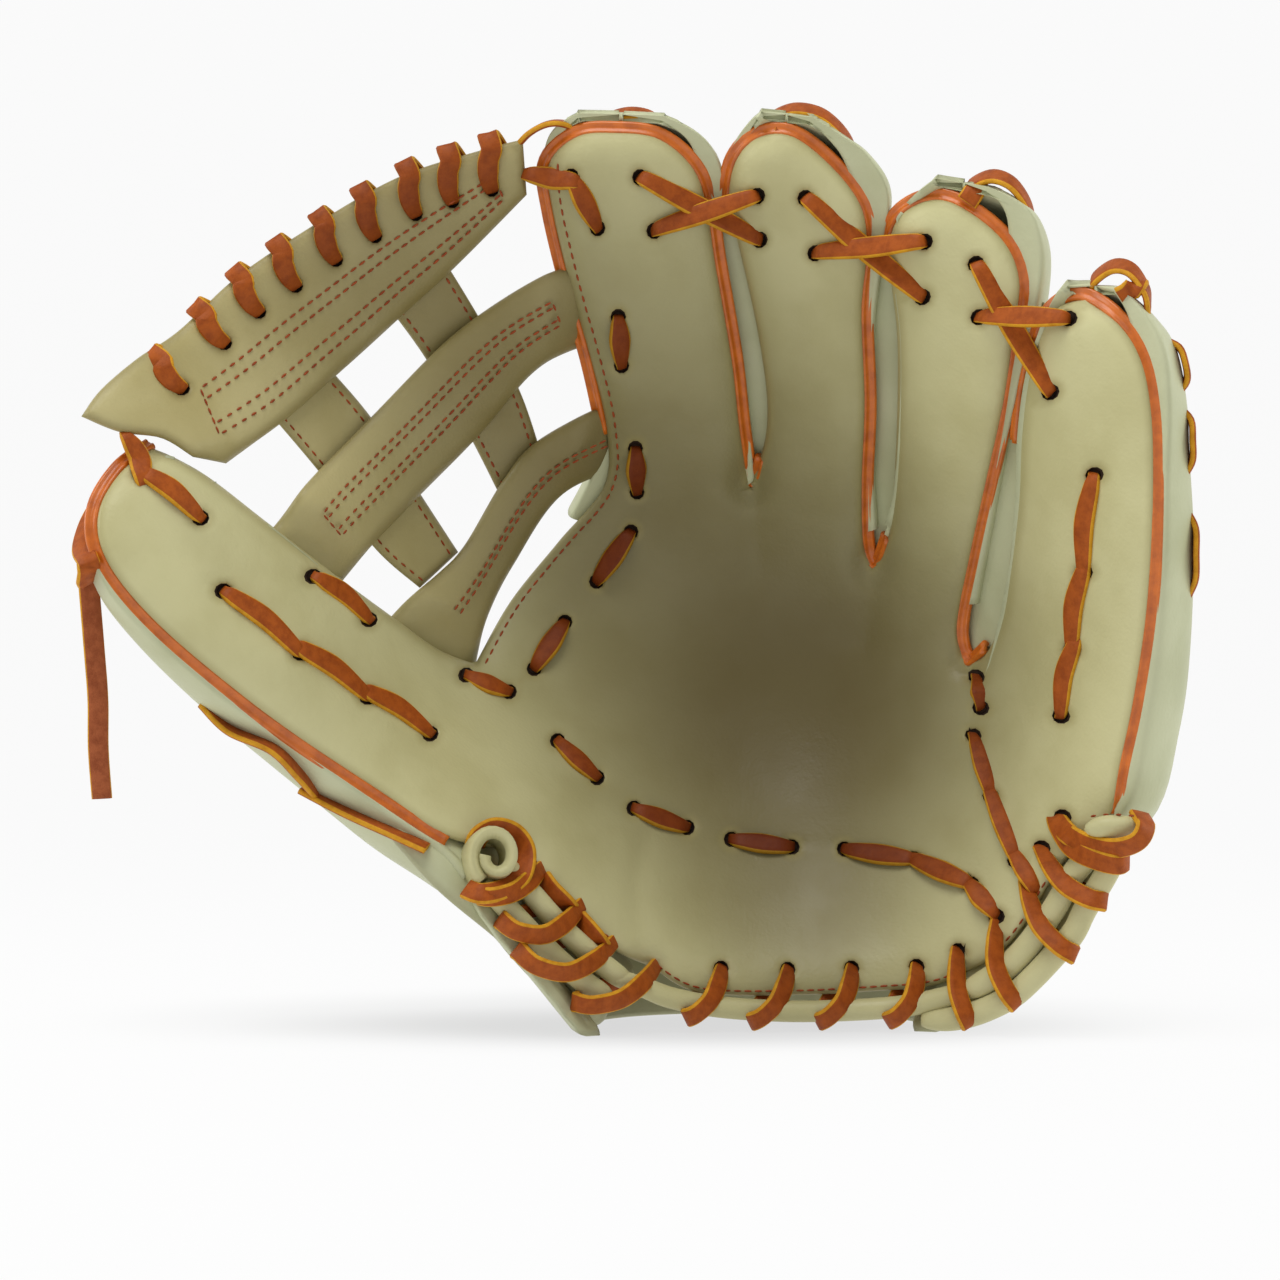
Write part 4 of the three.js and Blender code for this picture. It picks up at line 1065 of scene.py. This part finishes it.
def shell(grid, thick):
    """Leather of even thickness over a grid of points. Its front is the side that the rows and
    columns turn to."""
    rows, cols = grid.shape[:2]
    outer = grid.reshape(-1, 3)
    faces = [(r * cols + c, r * cols + c + 1, (r + 1) * cols + c + 1, (r + 1) * cols + c)
             for r in range(rows - 1) for c in range(cols - 1)]
    du, dv = np.gradient(grid, axis=1), np.gradient(grid, axis=0)
    normal = np.cross(du, dv).reshape(-1, 3)
    normal /= np.maximum(np.linalg.norm(normal, axis=1), 1e-9)[:, None]
    verts, faces = close_up(outer, outer - normal * thick, faces)
    return verts, faces, np.full(len(verts), FAR_IN)


def finger_back(name, ribs, node, body, curl=56):
    """Rounded hollow back of a finger. Its front edges tuck in behind the piping; curl is how
    many degrees round they turn in."""
    grid = []
    for t in 1 - (1 - np.linspace(0, 1, RIB_ROWS)) ** 1.25:
        turn = curl + (16 - curl) * t ** 5
        grid.append(on_rib(ribs, t, np.linspace(180 + turn, -turn, RIB_COLS), EASE))
    for _ in range(TIP_SMOOTHING):
        grid[-16:-1] = [(a + 2 * b + c) / 4 for a, b, c in zip(grid[-17:-2], grid[-16:-1],
                                                               grid[-15:])]
    for row in grid:
        row[:, 1] = np.maximum(row[:, 1], front(row[:, 0], row[:, 2]) + SEAM_GAP)
    tip = grid[-1].mean(0)
    grid += [tip + (grid[-1] - tip) * s for s in (0.7, 0.35, 0.04)]
    verts, faces, edge = shell(np.array(grid)[:, ::-1], BACK_THICK)
    return piece(name, verts, faces, [rim_lit_back_hide], edge=edge, instead=[node], ride=body)


finger_back("index_back_leather", INDEX_RIBS, "index_finger_back", "palm")
finger_back("middle_back_leather", MIDDLE_RIBS, "middle_finger_back", "palm")
finger_back("ring_back_leather", RING_RIBS, "ring_finger_back", "palm")
finger_back("thumb_back_leather", THUMB_RIBS, "thumb_back", "thumb", curl=26)
finger_back("little_finger_back_leather", PINKY_RIBS, "pinky_back", "pinky")


# ---- gussets ---------------------------------------------------------------------------------
# Thin strips of the back hide, sewn in behind the piping to close the narrow gaps between the
# fingers. The last one joins the little finger.
GUSSET_DEPTH = 13
for name, left, right, fold in (
        ("index_middle_gusset", [[26, 262], [24, 247], [30, 216], [31, 190], [35, 172]],
         [[35, 172], [43, 178], [44, 204], [40, 226], [30, 262]], None),
        ("middle_ring_gusset", [[72, 252], [70, 230], [71, 200], [71, 164], [75, 145]],
         [[75, 145], [84, 158], [86, 190], [85, 222], [81, 252]], None),
        ("ring_little_gusset",
         [[113, 236], [115, 215], [112, 185], [107, 150], [103, 124], [105, 112]],
         [[105, 112], [114, 116], [121, 140], [123, 180], [124, 212], [126, 230]],
         (at(108, 180, GUSSET_DEPTH), at(124, 180, GUSSET_DEPTH)))):
    gusset = cut_piece(name, ring(left, right, [right[-1], left[0]]), 1.6,
                       behind(GUSSET_DEPTH), rim_lit_back_hide, ride=None if fold else "palm")
    if fold:
        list(fold)
        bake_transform(gusset)


# ---- back of the hand ------------------------------------------------------------------------
# A band of back hide goes round the wrist opening, and a panel with a slot for one finger covers
# the back of the hand. Both are sewn, and a strap lies over the band.
# Level slices: z, left x, right x, y of the widest line, y of the back.
HAND = [[-8, -14, 92, 2, 57], [0, -21, 96, 0, 60], [20, -37, 104, -2, 66],
        [34, -49, 113, -4, 71], [46, -56, 119, -3, 76], [65, -52, 117, 6, 85],
        [85, -47, 112, 16, 95], [105, -45, 108, 25, 103], [125, -42, 106, 30, 105],
        [145, -34, 104, 30, 102], [160, -24, 102, 26, 97], [172, -14, 99, 22, 92]]
levels = np.array([catmull(HAND, t) for t in np.linspace(0, 1, 300)])


def hand(u, v, depth=0.0):
    """Point on the back of the hand: u is 0 at the middle of the back and 1.5 mm for each
    degree around it, v is the height and depth is how far inside it lies."""
    u, v = np.asarray(u, float), np.asarray(v, float)
    xl, xr, cy, yb = (np.interp(v, levels[:, 0], levels[:, k]) for k in (1, 2, 3, 4))
    a = np.radians(90 + u / 1.5)
    c, s = np.cos(a), np.sin(a)
    c, s = np.sign(c) * np.abs(c) ** 0.85, np.sign(s) * np.abs(s) ** 0.85
    x = (xl + xr) / 2 + ((xr - xl) / 2 - depth) * c
    y = cy + (yb - cy - depth) * s
    y = np.maximum(y, front(x, v) + 7 + depth)
    return np.stack([x, y, v], -1)


BAND = ring([[-180, 0.3], [0, 0.3], [180, 0.3]], [[180, 0.3], [176, 44]],
            [[176, 44], [0, 44], [-176, 44]], [[-176, 44], [-180, 0.3]], step=3)
cut_piece("wrist_band_leather", BAND, 4.0, hand, rim_lit_back_hide, ["wrist_band"], "palm", spacing=4)
PANEL = ring([[-126, 44.4], [0, 44.4], [126, 44.4]], [[126, 44.4], [112, 100], [92, 150]],
             [[92, 150], [40, 167], [0, 169], [-40, 167], [-92, 146]],
             [[-92, 146], [-112, 100], [-126, 44.4]], step=3)
SLOT = ring([[-48, 62], [-44, 82], [0, 86], [44, 82], [48, 62]], [[48, 62], [0, 58], [-48, 62]],
            step=3)
cut_piece("back_panel_leather", PANEL, 3.2, hand, rim_lit_back_hide, ["back_panel"], "palm", spacing=4,
          cut_holes=[SLOT])

# A wrist strap with sewn edges, laid over the band.
STRAP = ring([[-120, 12], [0, 10], [120, 12]], [[120, 12], [126, 23], [120, 34]],
             [[120, 34], [0, 38], [-120, 34]], [[-120, 34], [-126, 23], [-120, 12]], step=3)
cut_piece("wrist_strap", STRAP, 2.6, lambda u, v, d: hand(u, v, d - 2.8), rim_lit_back_hide,
          ride="palm", spacing=4)


def hand_rows(name, lines, proud):
    """Rows of stitches on the back of the hand, proud of its surface."""
    def outwards(p):
        return np.cross(hand(p[0] + 1, p[1]) - hand(p[0] - 1, p[1]),
                        hand(p[0], p[1] + 1) - hand(p[0], p[1] - 1))
    verts, faces, kinds = joined([
        stitches(np.array(line, float), lambda p: hand(p[0], p[1], -proud), outwards)
        for line in lines])
    return piece(name, verts, faces, [thread], kinds, ride="palm")


hand_rows("wrist_strap_stitches", [[[-116, 15], [0, 13], [116, 15]],
                                   [[-116, 31], [0, 35], [116, 31]]], 2.9)
hand_rows("back_panel_stitches", [[[-52, 60], [-48, 84], [0, 89.5], [48, 84], [52, 60]],
                                  [[52, 60], [0, 54.5], [-52, 60]]], 0.1)


# ---- padding and lining ----------------------------------------------------------------------
# Pads of pressed wool felt lie loose behind the front leather of palm, thumb and little finger.
# A lining of soft tan deerskin, glued to the palm's pad, faces the hand.

# Deerskin has a dull, velvety face.
tan_lining = leather("tan_deerskin_lining", "#C2A277", "#B08E62", "#8E6E46", rough=0.7)


def felt_wool():
    """Pressed wool felt: matt, with a fuzz that catches the light at grazing angles."""
    material, tree, shader, where = new_material("pressed_wool_felt")
    fuzz = noise(tree, where, 0.0009, 6, 0.75)
    base = mix(tree, fuzz, to_linear("#CFC6AC"), to_linear("#B3A88A"))
    tree.links.new(base, shader.inputs["Base Color"])
    tree.links.new(bump(tree, fuzz, 0.0006, 0.8), shader.inputs["Normal"])
    shader.inputs["Roughness"].default_value = 0.97
    shader.inputs["Sheen Weight"].default_value = 0.3
    return material


felt = felt_wool()


PALM_PAD = ring([[-40, 116], [-14, 146], [16, 158]], [[16, 158], [60, 154], [97, 124]],
                [[97, 124], [98, 80], [95, 34]],
                [[95, 34], [83, 31], [51, 30], [22, 31], [10, 34]],
                [[10, 34], [-14, 74], [-40, 116]], step=4)
PALM_LINING = ring([[12, 36], [-12, 74], [-34, 112]],
                   [[-34, 112], [-14, 146], [16, 160], [60, 156], [94, 136]],
                   [[94, 136], [94, 80], [92, 36]], [[92, 36], [51, 33], [12, 36]], step=4)
THUMB_PAD = ring([[-60, 100], [-90, 118], [-118, 142], [-136, 158], [-145, 160]],
                 [[-145, 160], [-151, 154], [-146, 144], [-118, 117], [-82, 89], [-54, 77]],
                 [[-54, 77], [-46, 84], [-60, 100]], step=4)
LITTLE_PAD = ring([[126, 66], [130, 108], [136, 140], [136, 170], [135, 198], [137, 212]],
                  [[137, 212], [146, 204], [151, 178], [150, 130], [143, 90], [136, 70]],
                  [[136, 70], [126, 66]], step=4)
FELT_DEPTH, FELT_THICK = 11.5, 3.6        # behind the bowl
LINING_DEPTH, LINING_THICK = 15.4, 1.6
for name, outline, material, node, body in (
        ("palm_felt", PALM_PAD, felt, "palm_padding", "palm"),
        ("palm_lining_leather", PALM_LINING, tan_lining, "palm_lining", "palm"),
        ("thumb_felt", THUMB_PAD, felt, "thumb_padding", "thumb"),
        ("little_finger_felt", LITTLE_PAD, felt, "pinky_padding", "pinky")):
    is_felt = material is felt
    pad = cut_piece(name, outline, FELT_THICK if is_felt else LINING_THICK,
                    behind(FELT_DEPTH if is_felt else LINING_DEPTH), material, [node], body,
                    "felt" if is_felt else "lining", spacing=5,
                    relief=puffed(outline, 9, 0.8))


# ---- heel: outer leather ---------------------------------------------------------------------
# The heel closes the glove at the bottom. On the thumb side the outer leather runs down from the
# thumb's back to the foot; on the little finger's side a narrow facing lies behind the strips.
SIDE = ring([[-10, 12], [-2, 19], [-14, 33], [-26, 47], [-40, 61], [-58, 74], [-76, 78]],
            [[-76, 78], [-80, 68], [-76.5, 61]],
            [[-76.5, 61], [-63, 46.5], [-46.4, 32], [-37, 22.8], [-29.7, 15], [-22.8, 7],
             [-20.4, 3.4], [-15, 2.2], [-10.6, 5], [-10, 12]])
cut_piece("thumb_heel_side_leather", SIDE, 3.0, behind(8.6), rim_lit_back_hide, ride="thumb",
          relief=puffed(SIDE, 15, 7.5))
FACING = ring([[98, 22], [112, 30], [120, 44], [130, 60], [140, 70]], [[140, 70], [149, 66]],
              [[149, 66], [141, 47], [133.5, 32.5], [122.5, 19.5], [112, 10.6], [100, 7]],
              [[100, 7], [98, 22]])
cut_piece("little_finger_heel_facing", FACING, 2.4, behind(8.2), front_hide, ride="pinky",
          slot="palm_leather")


# ---- heel: rolled strips ---------------------------------------------------------------------
# Strips of the cream hide rolled into soft cords, 7 to 9 mm across. They run along the lower edge
# of the palm, thumb and little finger, side by side in twos at the corners, and take the wear.
ROUND = [[math.cos(a), math.sin(a)] for a in np.linspace(0, 2 * math.pi, 16, endpoint=False)]


ROLL_HIGH = 3.2         # half a rolled strip's height off the bowl


def rolled(name, points, wide, nodes, body, depth=2.0):
    """A soft rolled strip. wide is half its width along the bowl."""
    flat = spline(points, 1.5)
    path = bowl(flat[:, 0], flat[:, 1], depth)
    t = np.linspace(0, 1, len(path))
    size = 1 - 0.35 * np.abs(2 * t - 1) ** 14
    along = np.gradient(path, axis=0)
    across = np.cross(facing(flat[:, 0], flat[:, 1]), along)
    section = [[x * wide, y * ROLL_HIGH] for x, y in ROUND]
    verts, faces, kinds = strip(path, across, section, size, size)
    return piece(name, verts, faces, [front_hide], [0] * len(faces), instead=nodes, ride=body)


THUMB_ROLL = [[-43, 55], [-34.5, 45.5], [-24, 33.5], [-13, 23.2], [-4, 16.2]]
THUMB_ROLL_OUT = [[-49, 49], [-40, 39.4], [-29, 27.6], [-18, 17.4], [-10, 12]]
HEEL_ROLL = [[-8, 18], [1, 14.6], [10, 11], [25, 8], [45, 6.6], [65, 6.8], [84, 8.4],
             [97, 11.6], [105, 15]]
PINKY_ROLL = [[103.5, 14], [108, 16.2], [114.6, 21], [120.4, 27], [125.7, 34.5], [130.6, 42.6],
              [135.5, 52.5], [141.5, 60]]
PINKY_ROLL_OUT = [[90, 4.6], [98.5, 5], [107, 7.4], [116.6, 12.6], [123.2, 18.8], [130.6, 27.6],
                  [135.3, 34], [138.4, 41], [142.6, 49], [147.5, 58]]
rolled("thumb_heel_roll_inner", THUMB_ROLL, 3.9, ["thumb_heel_roll"], "thumb")
rolled("thumb_heel_roll_edge", THUMB_ROLL_OUT, 3.9, ["thumb_heel_roll_outer"], "thumb", 3.4)
rolled("heel_roll_leather", HEEL_ROLL, 3.6, ["heel_roll"], "palm", 1.6)
rolled("little_finger_heel_roll", PINKY_ROLL, 4.3, ["pinky_heel_roll"], "pinky")
rolled("little_finger_heel_roll_edge", PINKY_ROLL_OUT, 4.2, [], "pinky", 4.4)


# ---- heel: lace ------------------------------------------------------------------------------
# The rolled strips are whipped on with the same lace: through a hole in the leather, over the
# strips and round behind them, once for each hole.
LEAN_OUT = 0.45         # tilt that shows the lace's lower edge


def ribbon(marks):
    """Lace through [x, z, depth] marks, lying on the bowl."""
    marks = np.asarray(marks, float)
    path = spline(bowl(marks[:, 0], marks[:, 1], marks[:, 2]), 1.1)
    along = np.gradient(path, axis=0)
    along /= np.linalg.norm(along, axis=1)[:, None]
    n = np.array([0, -1.0, 0]) - along * (-along[:, 1:2])
    low = np.linalg.norm(n, axis=1)
    for i in range(1, len(n)):
        if low[i] < 0.45:
            n[i] = n[i - 1]
    n /= np.maximum(np.linalg.norm(n, axis=1), 1e-9)[:, None]
    across = np.cross(n, along)
    across = across * math.cos(LEAN_OUT) + n * math.sin(LEAN_OUT)
    return lace_parts(path, across)


def wrap(start, end, bow=2.5, bulge=3.6):
    """One turn of lace: out of a hole, over the rolled strips and round behind them. bow is how
    far its middle sags towards the lower left, and bulge how far the strips push it out."""
    a, b = np.array(start, float), np.array(end, float)
    d = (b - a) / np.linalg.norm(b - a)
    side = np.array([-d[1], d[0]])
    side = side if side @ [-0.45, -1] > 0 else -side
    marks = [a - d * 0.8, a + side * 0.3, a + (b - a) * 0.22 + side * bow * 0.65,
             a + (b - a) * 0.52 + side * bow, a + (b - a) * 0.84 + side * bow * 0.6,
             b + d * 0.5, b - d * 0.4, a + (b - a) * 0.5]
    depths = np.array([5.5, 2.2, -bulge * 0.7, -bulge, -bulge * 0.65, 2.4, 6.8, 10.0])
    depths[:2] += face_depth(a)
    points = np.array([bowl(m[0], m[1], k) for m, k in zip(marks, depths)])
    path = spline(points, 1.1)
    along = np.gradient(path, axis=0)
    across = np.cross(np.tile([0, -1.0, 0], (len(path), 1)), along)
    weak = np.linalg.norm(across, axis=1) < 0.5 * np.linalg.norm(along, axis=1)
    sure = int(np.argmin(weak))
    for i in np.where(weak)[0]:
        across[i] = across[max(i - 1, sure)]
    across /= np.linalg.norm(across, axis=1)[:, None]
    chord = np.array([-d[1], 0, d[0]])
    chord = chord * np.sign(across[len(path) // 3] @ chord)
    flip = np.sum(across * chord, axis=1) < 0
    across[flip] *= -1
    across = across + np.array([0, 0.45, 0])
    widths = np.interp(np.linspace(0, 1, len(path)), [0, 0.1, 0.3, 1], [0.65, 0.75, 1, 1]) * 0.95
    return lace_parts(path, across, widths)


def wraps(name, turns, node, body, extra=(), **how):
    """A heel lace: its turns, and extra stretches that lie on the leather."""
    parts = [wrap(*turn, **how) for turn in turns] + [ribbon(marks) for marks in extra]
    return lace_piece(name, parts, body, [node])


wraps("heel_lace_whipping", [[[26, 19.5], [15.5, 5.4]], [[47.5, 19], [36, 3.9]],
                             [[68, 19.5], [57.5, 3.9]], [[88.5, 20.5], [79.5, 4.4]],
                             [[101.5, 26], [104, 4.6]]], "heel_lace", "palm")
# The thumb side: two deep turns, one over the corner, a turn round the rolled end, and the
# short straight bits that run along the leather's edge between the holes.
wraps("thumb_heel_whipping",
      [[[-18.3, 41.5], [-42.5, 37.5], 6.5], [[-7.9, 29.5], [-37, 27.8], 7.5],
       [[5.5, 21.5], [-19.5, 11.5], 4.5], [[-31.2, 53.1], [-49, 45.6], 3.0]],
      "thumb_heel_lace", "thumb", bulge=5.6, extra=[
          [[-52, 60, 6], [-50.5, 63.5, -1], [-45.5, 66, -4.5], [-39.5, 64, -4.5],
           [-36, 58.5, -4], [-37, 51.5, -3.6], [-42, 47.5, -4], [-49, 46.2, -2], [-54, 47.5, 5]],
          [[-30.5, 49, 3], [-28, 46, -1], [-24.5, 42.5, -1.6], [-22.6, 40, 3]],
          [[-19, 36, 3], [-16.5, 33.5, -1], [-14, 30.5, -1.6], [-12.5, 28, 3]]])
# The little-finger side: crescents over both strips, and a double turn below the rolled end.
wraps("little_finger_heel_whipping",
      [[[113.5, 35.5], [118, 11.5], 4.0], [[122, 48.5], [134.5, 27.8], 4.0],
       [[126.5, 59.5], [143, 44.5], 4.0]],
      "pinky_heel_lace", "pinky", bulge=5.4, extra=[
          [[131, 70, 4], [131.5, 66, -2], [134.5, 60.5, -5], [140, 57.5, -6], [146.5, 56, -4],
           [150, 57, 4]],
          [[131.5, 68, 3], [133.5, 64.5, -5], [139, 61.8, -7], [146, 61.2, -7], [152, 63.6, -5],
           [154.5, 68, -1], [153.6, 71.5, 5]]])


# ---- heel: ends of the strips ----------------------------------------------------------------
# On the little finger's side the strips end in a flattened oval of leather, sewn over along its
# top. On the thumb's side the strip is rolled up on itself, and its curled end shows.
end = bowl(146.2, 67.4, -4)
path = spline([end + [-9.2, 2.5, -0.9], end + [-4, 0.6, 0], end, end + [4, -0.8, 0.2],
               end + [9, -1.5, 0.9]], 0.8)
size = np.sqrt(np.clip(1 - np.linspace(-0.995, 0.995, len(path)) ** 2, 0.01, 1))
verts, faces, kinds = strip(path, np.tile([0, 0.35, 1], (len(path), 1)),
                            [[x * 3.6, y * 5.0] for x, y in ROUND], size, size)
piece("little_finger_heel_roll_end", verts, faces, [front_hide], [0] * len(faces), ride="pinky")
sew("little_finger_roll_end_stitches", [[[138.5, 70.2], [142, 71], [146, 71.4], [152, 71.2]]],
    -6.4, "pinky", on_relief=False)


def scroll(name, x, z, radius, length, turns, body, tilt):
    """Rolled-up end of a heel strip, seen end-on with its curled notch."""
    axis = np.array(tilt, float)
    axis /= np.linalg.norm(axis)
    u = np.cross(axis, [0, 0, 1.0])
    u /= np.linalg.norm(u)
    v = np.cross(axis, u)
    a = np.linspace(0, turns * 2 * math.pi, int(turns * 28))
    r = radius * (0.26 + 0.74 * a / a[-1])
    centre = bowl(x, z, 0)
    grid = []
    for along, shrink in ((-0.5, 0.9), (-0.46, 0.97), (-0.38, 1), (0.4, 1), (0.5, 0.96)):
        grid.append(centre - axis * length * along + (
            u * (np.cos(a) * r * shrink * 0.84)[:, None]
            + v * (np.sin(a) * r * shrink * 1.1)[:, None]))
    verts, faces, edge = shell(np.array(grid), radius * 0.5)
    return piece(name, verts, faces, [front_hide], edge=edge, ride=body)


scroll("thumb_heel_roll_end", -46.5, 56.5, 7.4, 12, 1.16, "thumb", (0.25, -1, 0.2))


# ---- lace ends behind the fingertips and on the thumb ----------------------------------------
# The laces are finished off behind: looped over the fingertips under short binding tags, knotted
# behind the thumb, and showing as bumps on the little finger's back.
def loop(points, across):
    """Lace along points, its width lying the same way all along."""
    path = spline(points, 1.2)
    return lace_parts(path, np.tile(across, (len(path), 1)))


def tip_loop(name, arc, tag, body):
    """A lace looped over the back of a fingertip, held by a short binding tag."""
    depth = 15
    points = np.array([bowl(x, z, depth + k) for (x, z), k in
                       zip([arc[0]] + arc + [arc[-1]], [3] + [0] * len(arc) + [3])])
    points[[0, -1], 2] -= 3.5
    (x0, z0), (x1, z1) = tag
    bind = np.array([bowl(x0, z0 - 1.5, depth + 5), bowl(x0, z0 + 0.6, depth - 1),
                     bowl(x0 * 0.7 + x1 * 0.3, z0 * 0.7 + z1 * 0.3, depth - 5),
                     bowl(x1, z1, depth - 8.5)])
    return lace_piece(name, [loop(points, [0.15, 0.8, 0.6]), loop(bind, [1, 0, 0.2])], body)


tip_loop("index_tip_loop", [[-13, 287.5], [-9, 290.4], [-3, 291.6], [3, 290.4], [6, 287]],
         [[-8, 289], [-9.5, 284]], "palm")
tip_loop("middle_tip_loop", [[41, 289], [48, 291.8], [56, 290.4], [62, 286], [66, 280.5]],
         [[46.5, 288.6], [44.5, 282]], "palm")
tip_loop("ring_tip_loop", [[103, 266.5], [109, 269], [115, 266.6], [119.6, 260.4], [121.5, 254]],
         [[105, 266], [101.5, 261]], "palm")
tip_loop("little_finger_tip_loop", [[140, 236], [145, 239.5], [150, 238], [154, 232], [155, 227]],
         [[152, 233], [146, 230]], "pinky")
lace_piece("web_corner_lace", [loop([bowl(x, z, k) for x, z, k in (
    (-39, 281, 5), (-35, 285, 6), (-29, 288, 8), (-23, 288, 11), (-17, 285, 15))],
    [0.1, 1, 0.2])], "palm")


def over_back(ribs, marks):
    """Points on a finger's back from (t, degrees, lift) marks."""
    return np.array([on_rib(ribs, t, a, 2, lift) for t, a, lift in marks])


# Knot behind the thumb's tip, knot lower down, and bumps of lace on the little finger's back.
knot = over_back(THUMB_RIBS, ((0.95, 120, -1), (0.93, 140, 2), (0.89, 165, 2.4),
                              (0.84, 186, 2.4), (0.80, 168, 2.4), (0.78, 145, -1)))
outwards = on_rib(THUMB_RIBS, 0.86, 175, 2, 20) - on_rib(THUMB_RIBS, 0.86, 175) + [0, 9, 9]
lace_piece("thumb_tip_lace_knot", [loop(knot, outwards)], "thumb", ["thumb_tip_knot"])
knot = over_back(THUMB_RIBS, ((0.50, 165, -1), (0.46, 178, 2), (0.41, 190, 2.4), (0.36, 184, 2),
                              (0.32, 172, -1)))
end = over_back(THUMB_RIBS, ((0.34, 170, 1), (0.29, 182, 2.2), (0.22, 192, 2.6),
                             (0.16, 197, 3.2)))
lace_piece("thumb_back_lace_knot", [loop(knot, [0.2, 1, 0.3]), loop(end, [0.4, 1, 0.2])],
           "thumb", ["thumb_back_knot"])
BUMP = ((-0.05, 22, -1.2), (-0.03, 16, 1.4), (0, 12, 2.0), (0.03, 16, 1.4), (0.05, 22, -1.2))
lace_piece("little_finger_back_lace", [
    loop(over_back(PINKY_RIBS, [(t + dt, a, lift) for dt, a, lift in BUMP]), [0.1, 1, 0])
    for t in (0.44, 0.6, 0.74)], "pinky", ["pinky_back_lace"])


# ---- hanging lace end ------------------------------------------------------------------------
# The thumb lace's free end: rawhide cut off square, hanging straight down from behind the thumb's
# tip with its rough suede side out. It is stiff, so it has only a slight twist.
lace_suede = rawhide("suede_side_of_lace", "#A65B36", "#8A4526", 0.9, 2.4)
TAIL_TOP = on_rib(THUMB_RIBS, 0.86, 128, 2, 3.5)
TAIL_END = 76
tail = spline([[TAIL_TOP[0] + dx, TAIL_TOP[1] + dy, TAIL_TOP[2] + (TAIL_END - TAIL_TOP[2]) * t]
               for t, dx, dy in zip((0, 0.2, 0.4, 0.6, 0.8, 1), (0, 1, 2, 3, 3, 4),
                                    (0, 2, 4, 5, 6, 7))], 2.0)
twist = np.linspace(0.15, -0.2, len(tail))
across = np.stack([np.cos(twist), np.sin(twist), np.zeros(len(tail))], 1)
verts, faces, kinds = strip(tail, across, [[x * 0.94, y] for x, y in FLAT])
hanging = piece("hanging_lace_end", verts, faces, [lace_suede, lace_edge],
                [1 if k in (4, 9) else 0 for k in kinds], instead=["thumb_lace_tail"],
                ride="thumb")


# ---- floor and light -------------------------------------------------------------------------
# A pale paper sweep: floor, curve and wall in one sheet that glows an even near-white, with a soft
# grey contact shadow painted into its glow under the glove.
profile = [(-60, 0), (0, 0), (3.2, 0)] + [(3.2 + 1.2 * math.sin(a), 1.2 - 1.2 * math.cos(a))
                                        for a in np.linspace(0.1, math.pi / 2, 12)] + [(4.4, 7)]
mesh = bpy.data.meshes.new("sweep")
mesh.from_pydata([(x, y, z) for x in (-60, 60) for y, z in profile], [],
                 [(i, i + len(profile), i + len(profile) + 1, i + 1)
                  for i in range(len(profile) - 1)])
mesh.polygons.foreach_set("use_smooth", [True] * len(mesh.polygons))
sweep = bpy.data.objects.new("sweep", mesh)
bpy.context.scene.collection.objects.link(sweep)
paper, tree, shader, where = new_material("pale_paper_sweep")
shadow = None
# Painted shadow: two soft grey ellipses darken the glow under the glove.
for middle, reach, strength in (((0.005, 0.03), (0.165, 0.11), 0.12),
                                ((0.015, 0.0), (0.13, 0.07), 0.14)):
    shifted = add(tree, "ShaderNodeVectorMath", {0: where, 1: (*middle, 0)},
                  operation="SUBTRACT").outputs[0]
    scaled = add(tree, "ShaderNodeVectorMath", {0: shifted, 1: (1 / reach[0], 1 / reach[1], 20)},
                 operation="MULTIPLY").outputs[0]
    length = add(tree, "ShaderNodeVectorMath", {0: scaled}, operation="LENGTH").outputs["Value"]
    grey = ramp(tree, length, 0.35, 1.25, strength, 0.0)
    shadow = grey if shadow is None else add(tree, "ShaderNodeMath", {0: shadow, 1: grey},
                                             operation="ADD").outputs[0]
glow = mix(tree, shadow, to_linear("#FAFAFA"), (0, 0, 0, 1))
tree.links.new(glow, shader.inputs["Emission Color"])
shader.inputs["Emission Strength"].default_value = 0.965
shader.inputs["Base Color"].default_value = (0.055, 0.055, 0.055, 1)
shader.inputs["Specular IOR Level"].default_value = 0
shader.inputs["Roughness"].default_value = 1
mesh.materials.append(paper)

world = bpy.data.worlds.new("studio")
bpy.context.scene.world = world
world.use_nodes = True
world.node_tree.nodes["Background"].inputs[0].default_value = (1, 1, 1, 1)
world.node_tree.nodes["Background"].inputs[1].default_value = 0.38


def lamp(name, where, aim, size, power, colour=(1, 1, 1)):
    """A round soft light, aimed at a point."""
    light = bpy.data.lights.new(name, "AREA")
    light.shape, light.size, light.energy, light.color = "DISK", size, power, colour
    obj = bpy.data.objects.new(name, light)
    obj.location = where
    obj.rotation_euler = (Vector(aim) - Vector(where)).to_track_quat("-Z", "Y").to_euler()
    bpy.context.scene.collection.objects.link(obj)


lamp("top", (-0.2, -0.45, 1.15), (0, 0, 0.12), 0.8, 7.6)
lamp("left", (-1.0, -0.1, 0.5), (0, 0, 0.15), 0.5, 2.9, (0.95, 1, 0.98))
lamp("right", (1.0, 0.0, 0.45), (0, 0, 0.15), 0.5, 2.9, (0.95, 1, 0.98))
bpy.context.scene.view_settings.view_transform = "Standard"
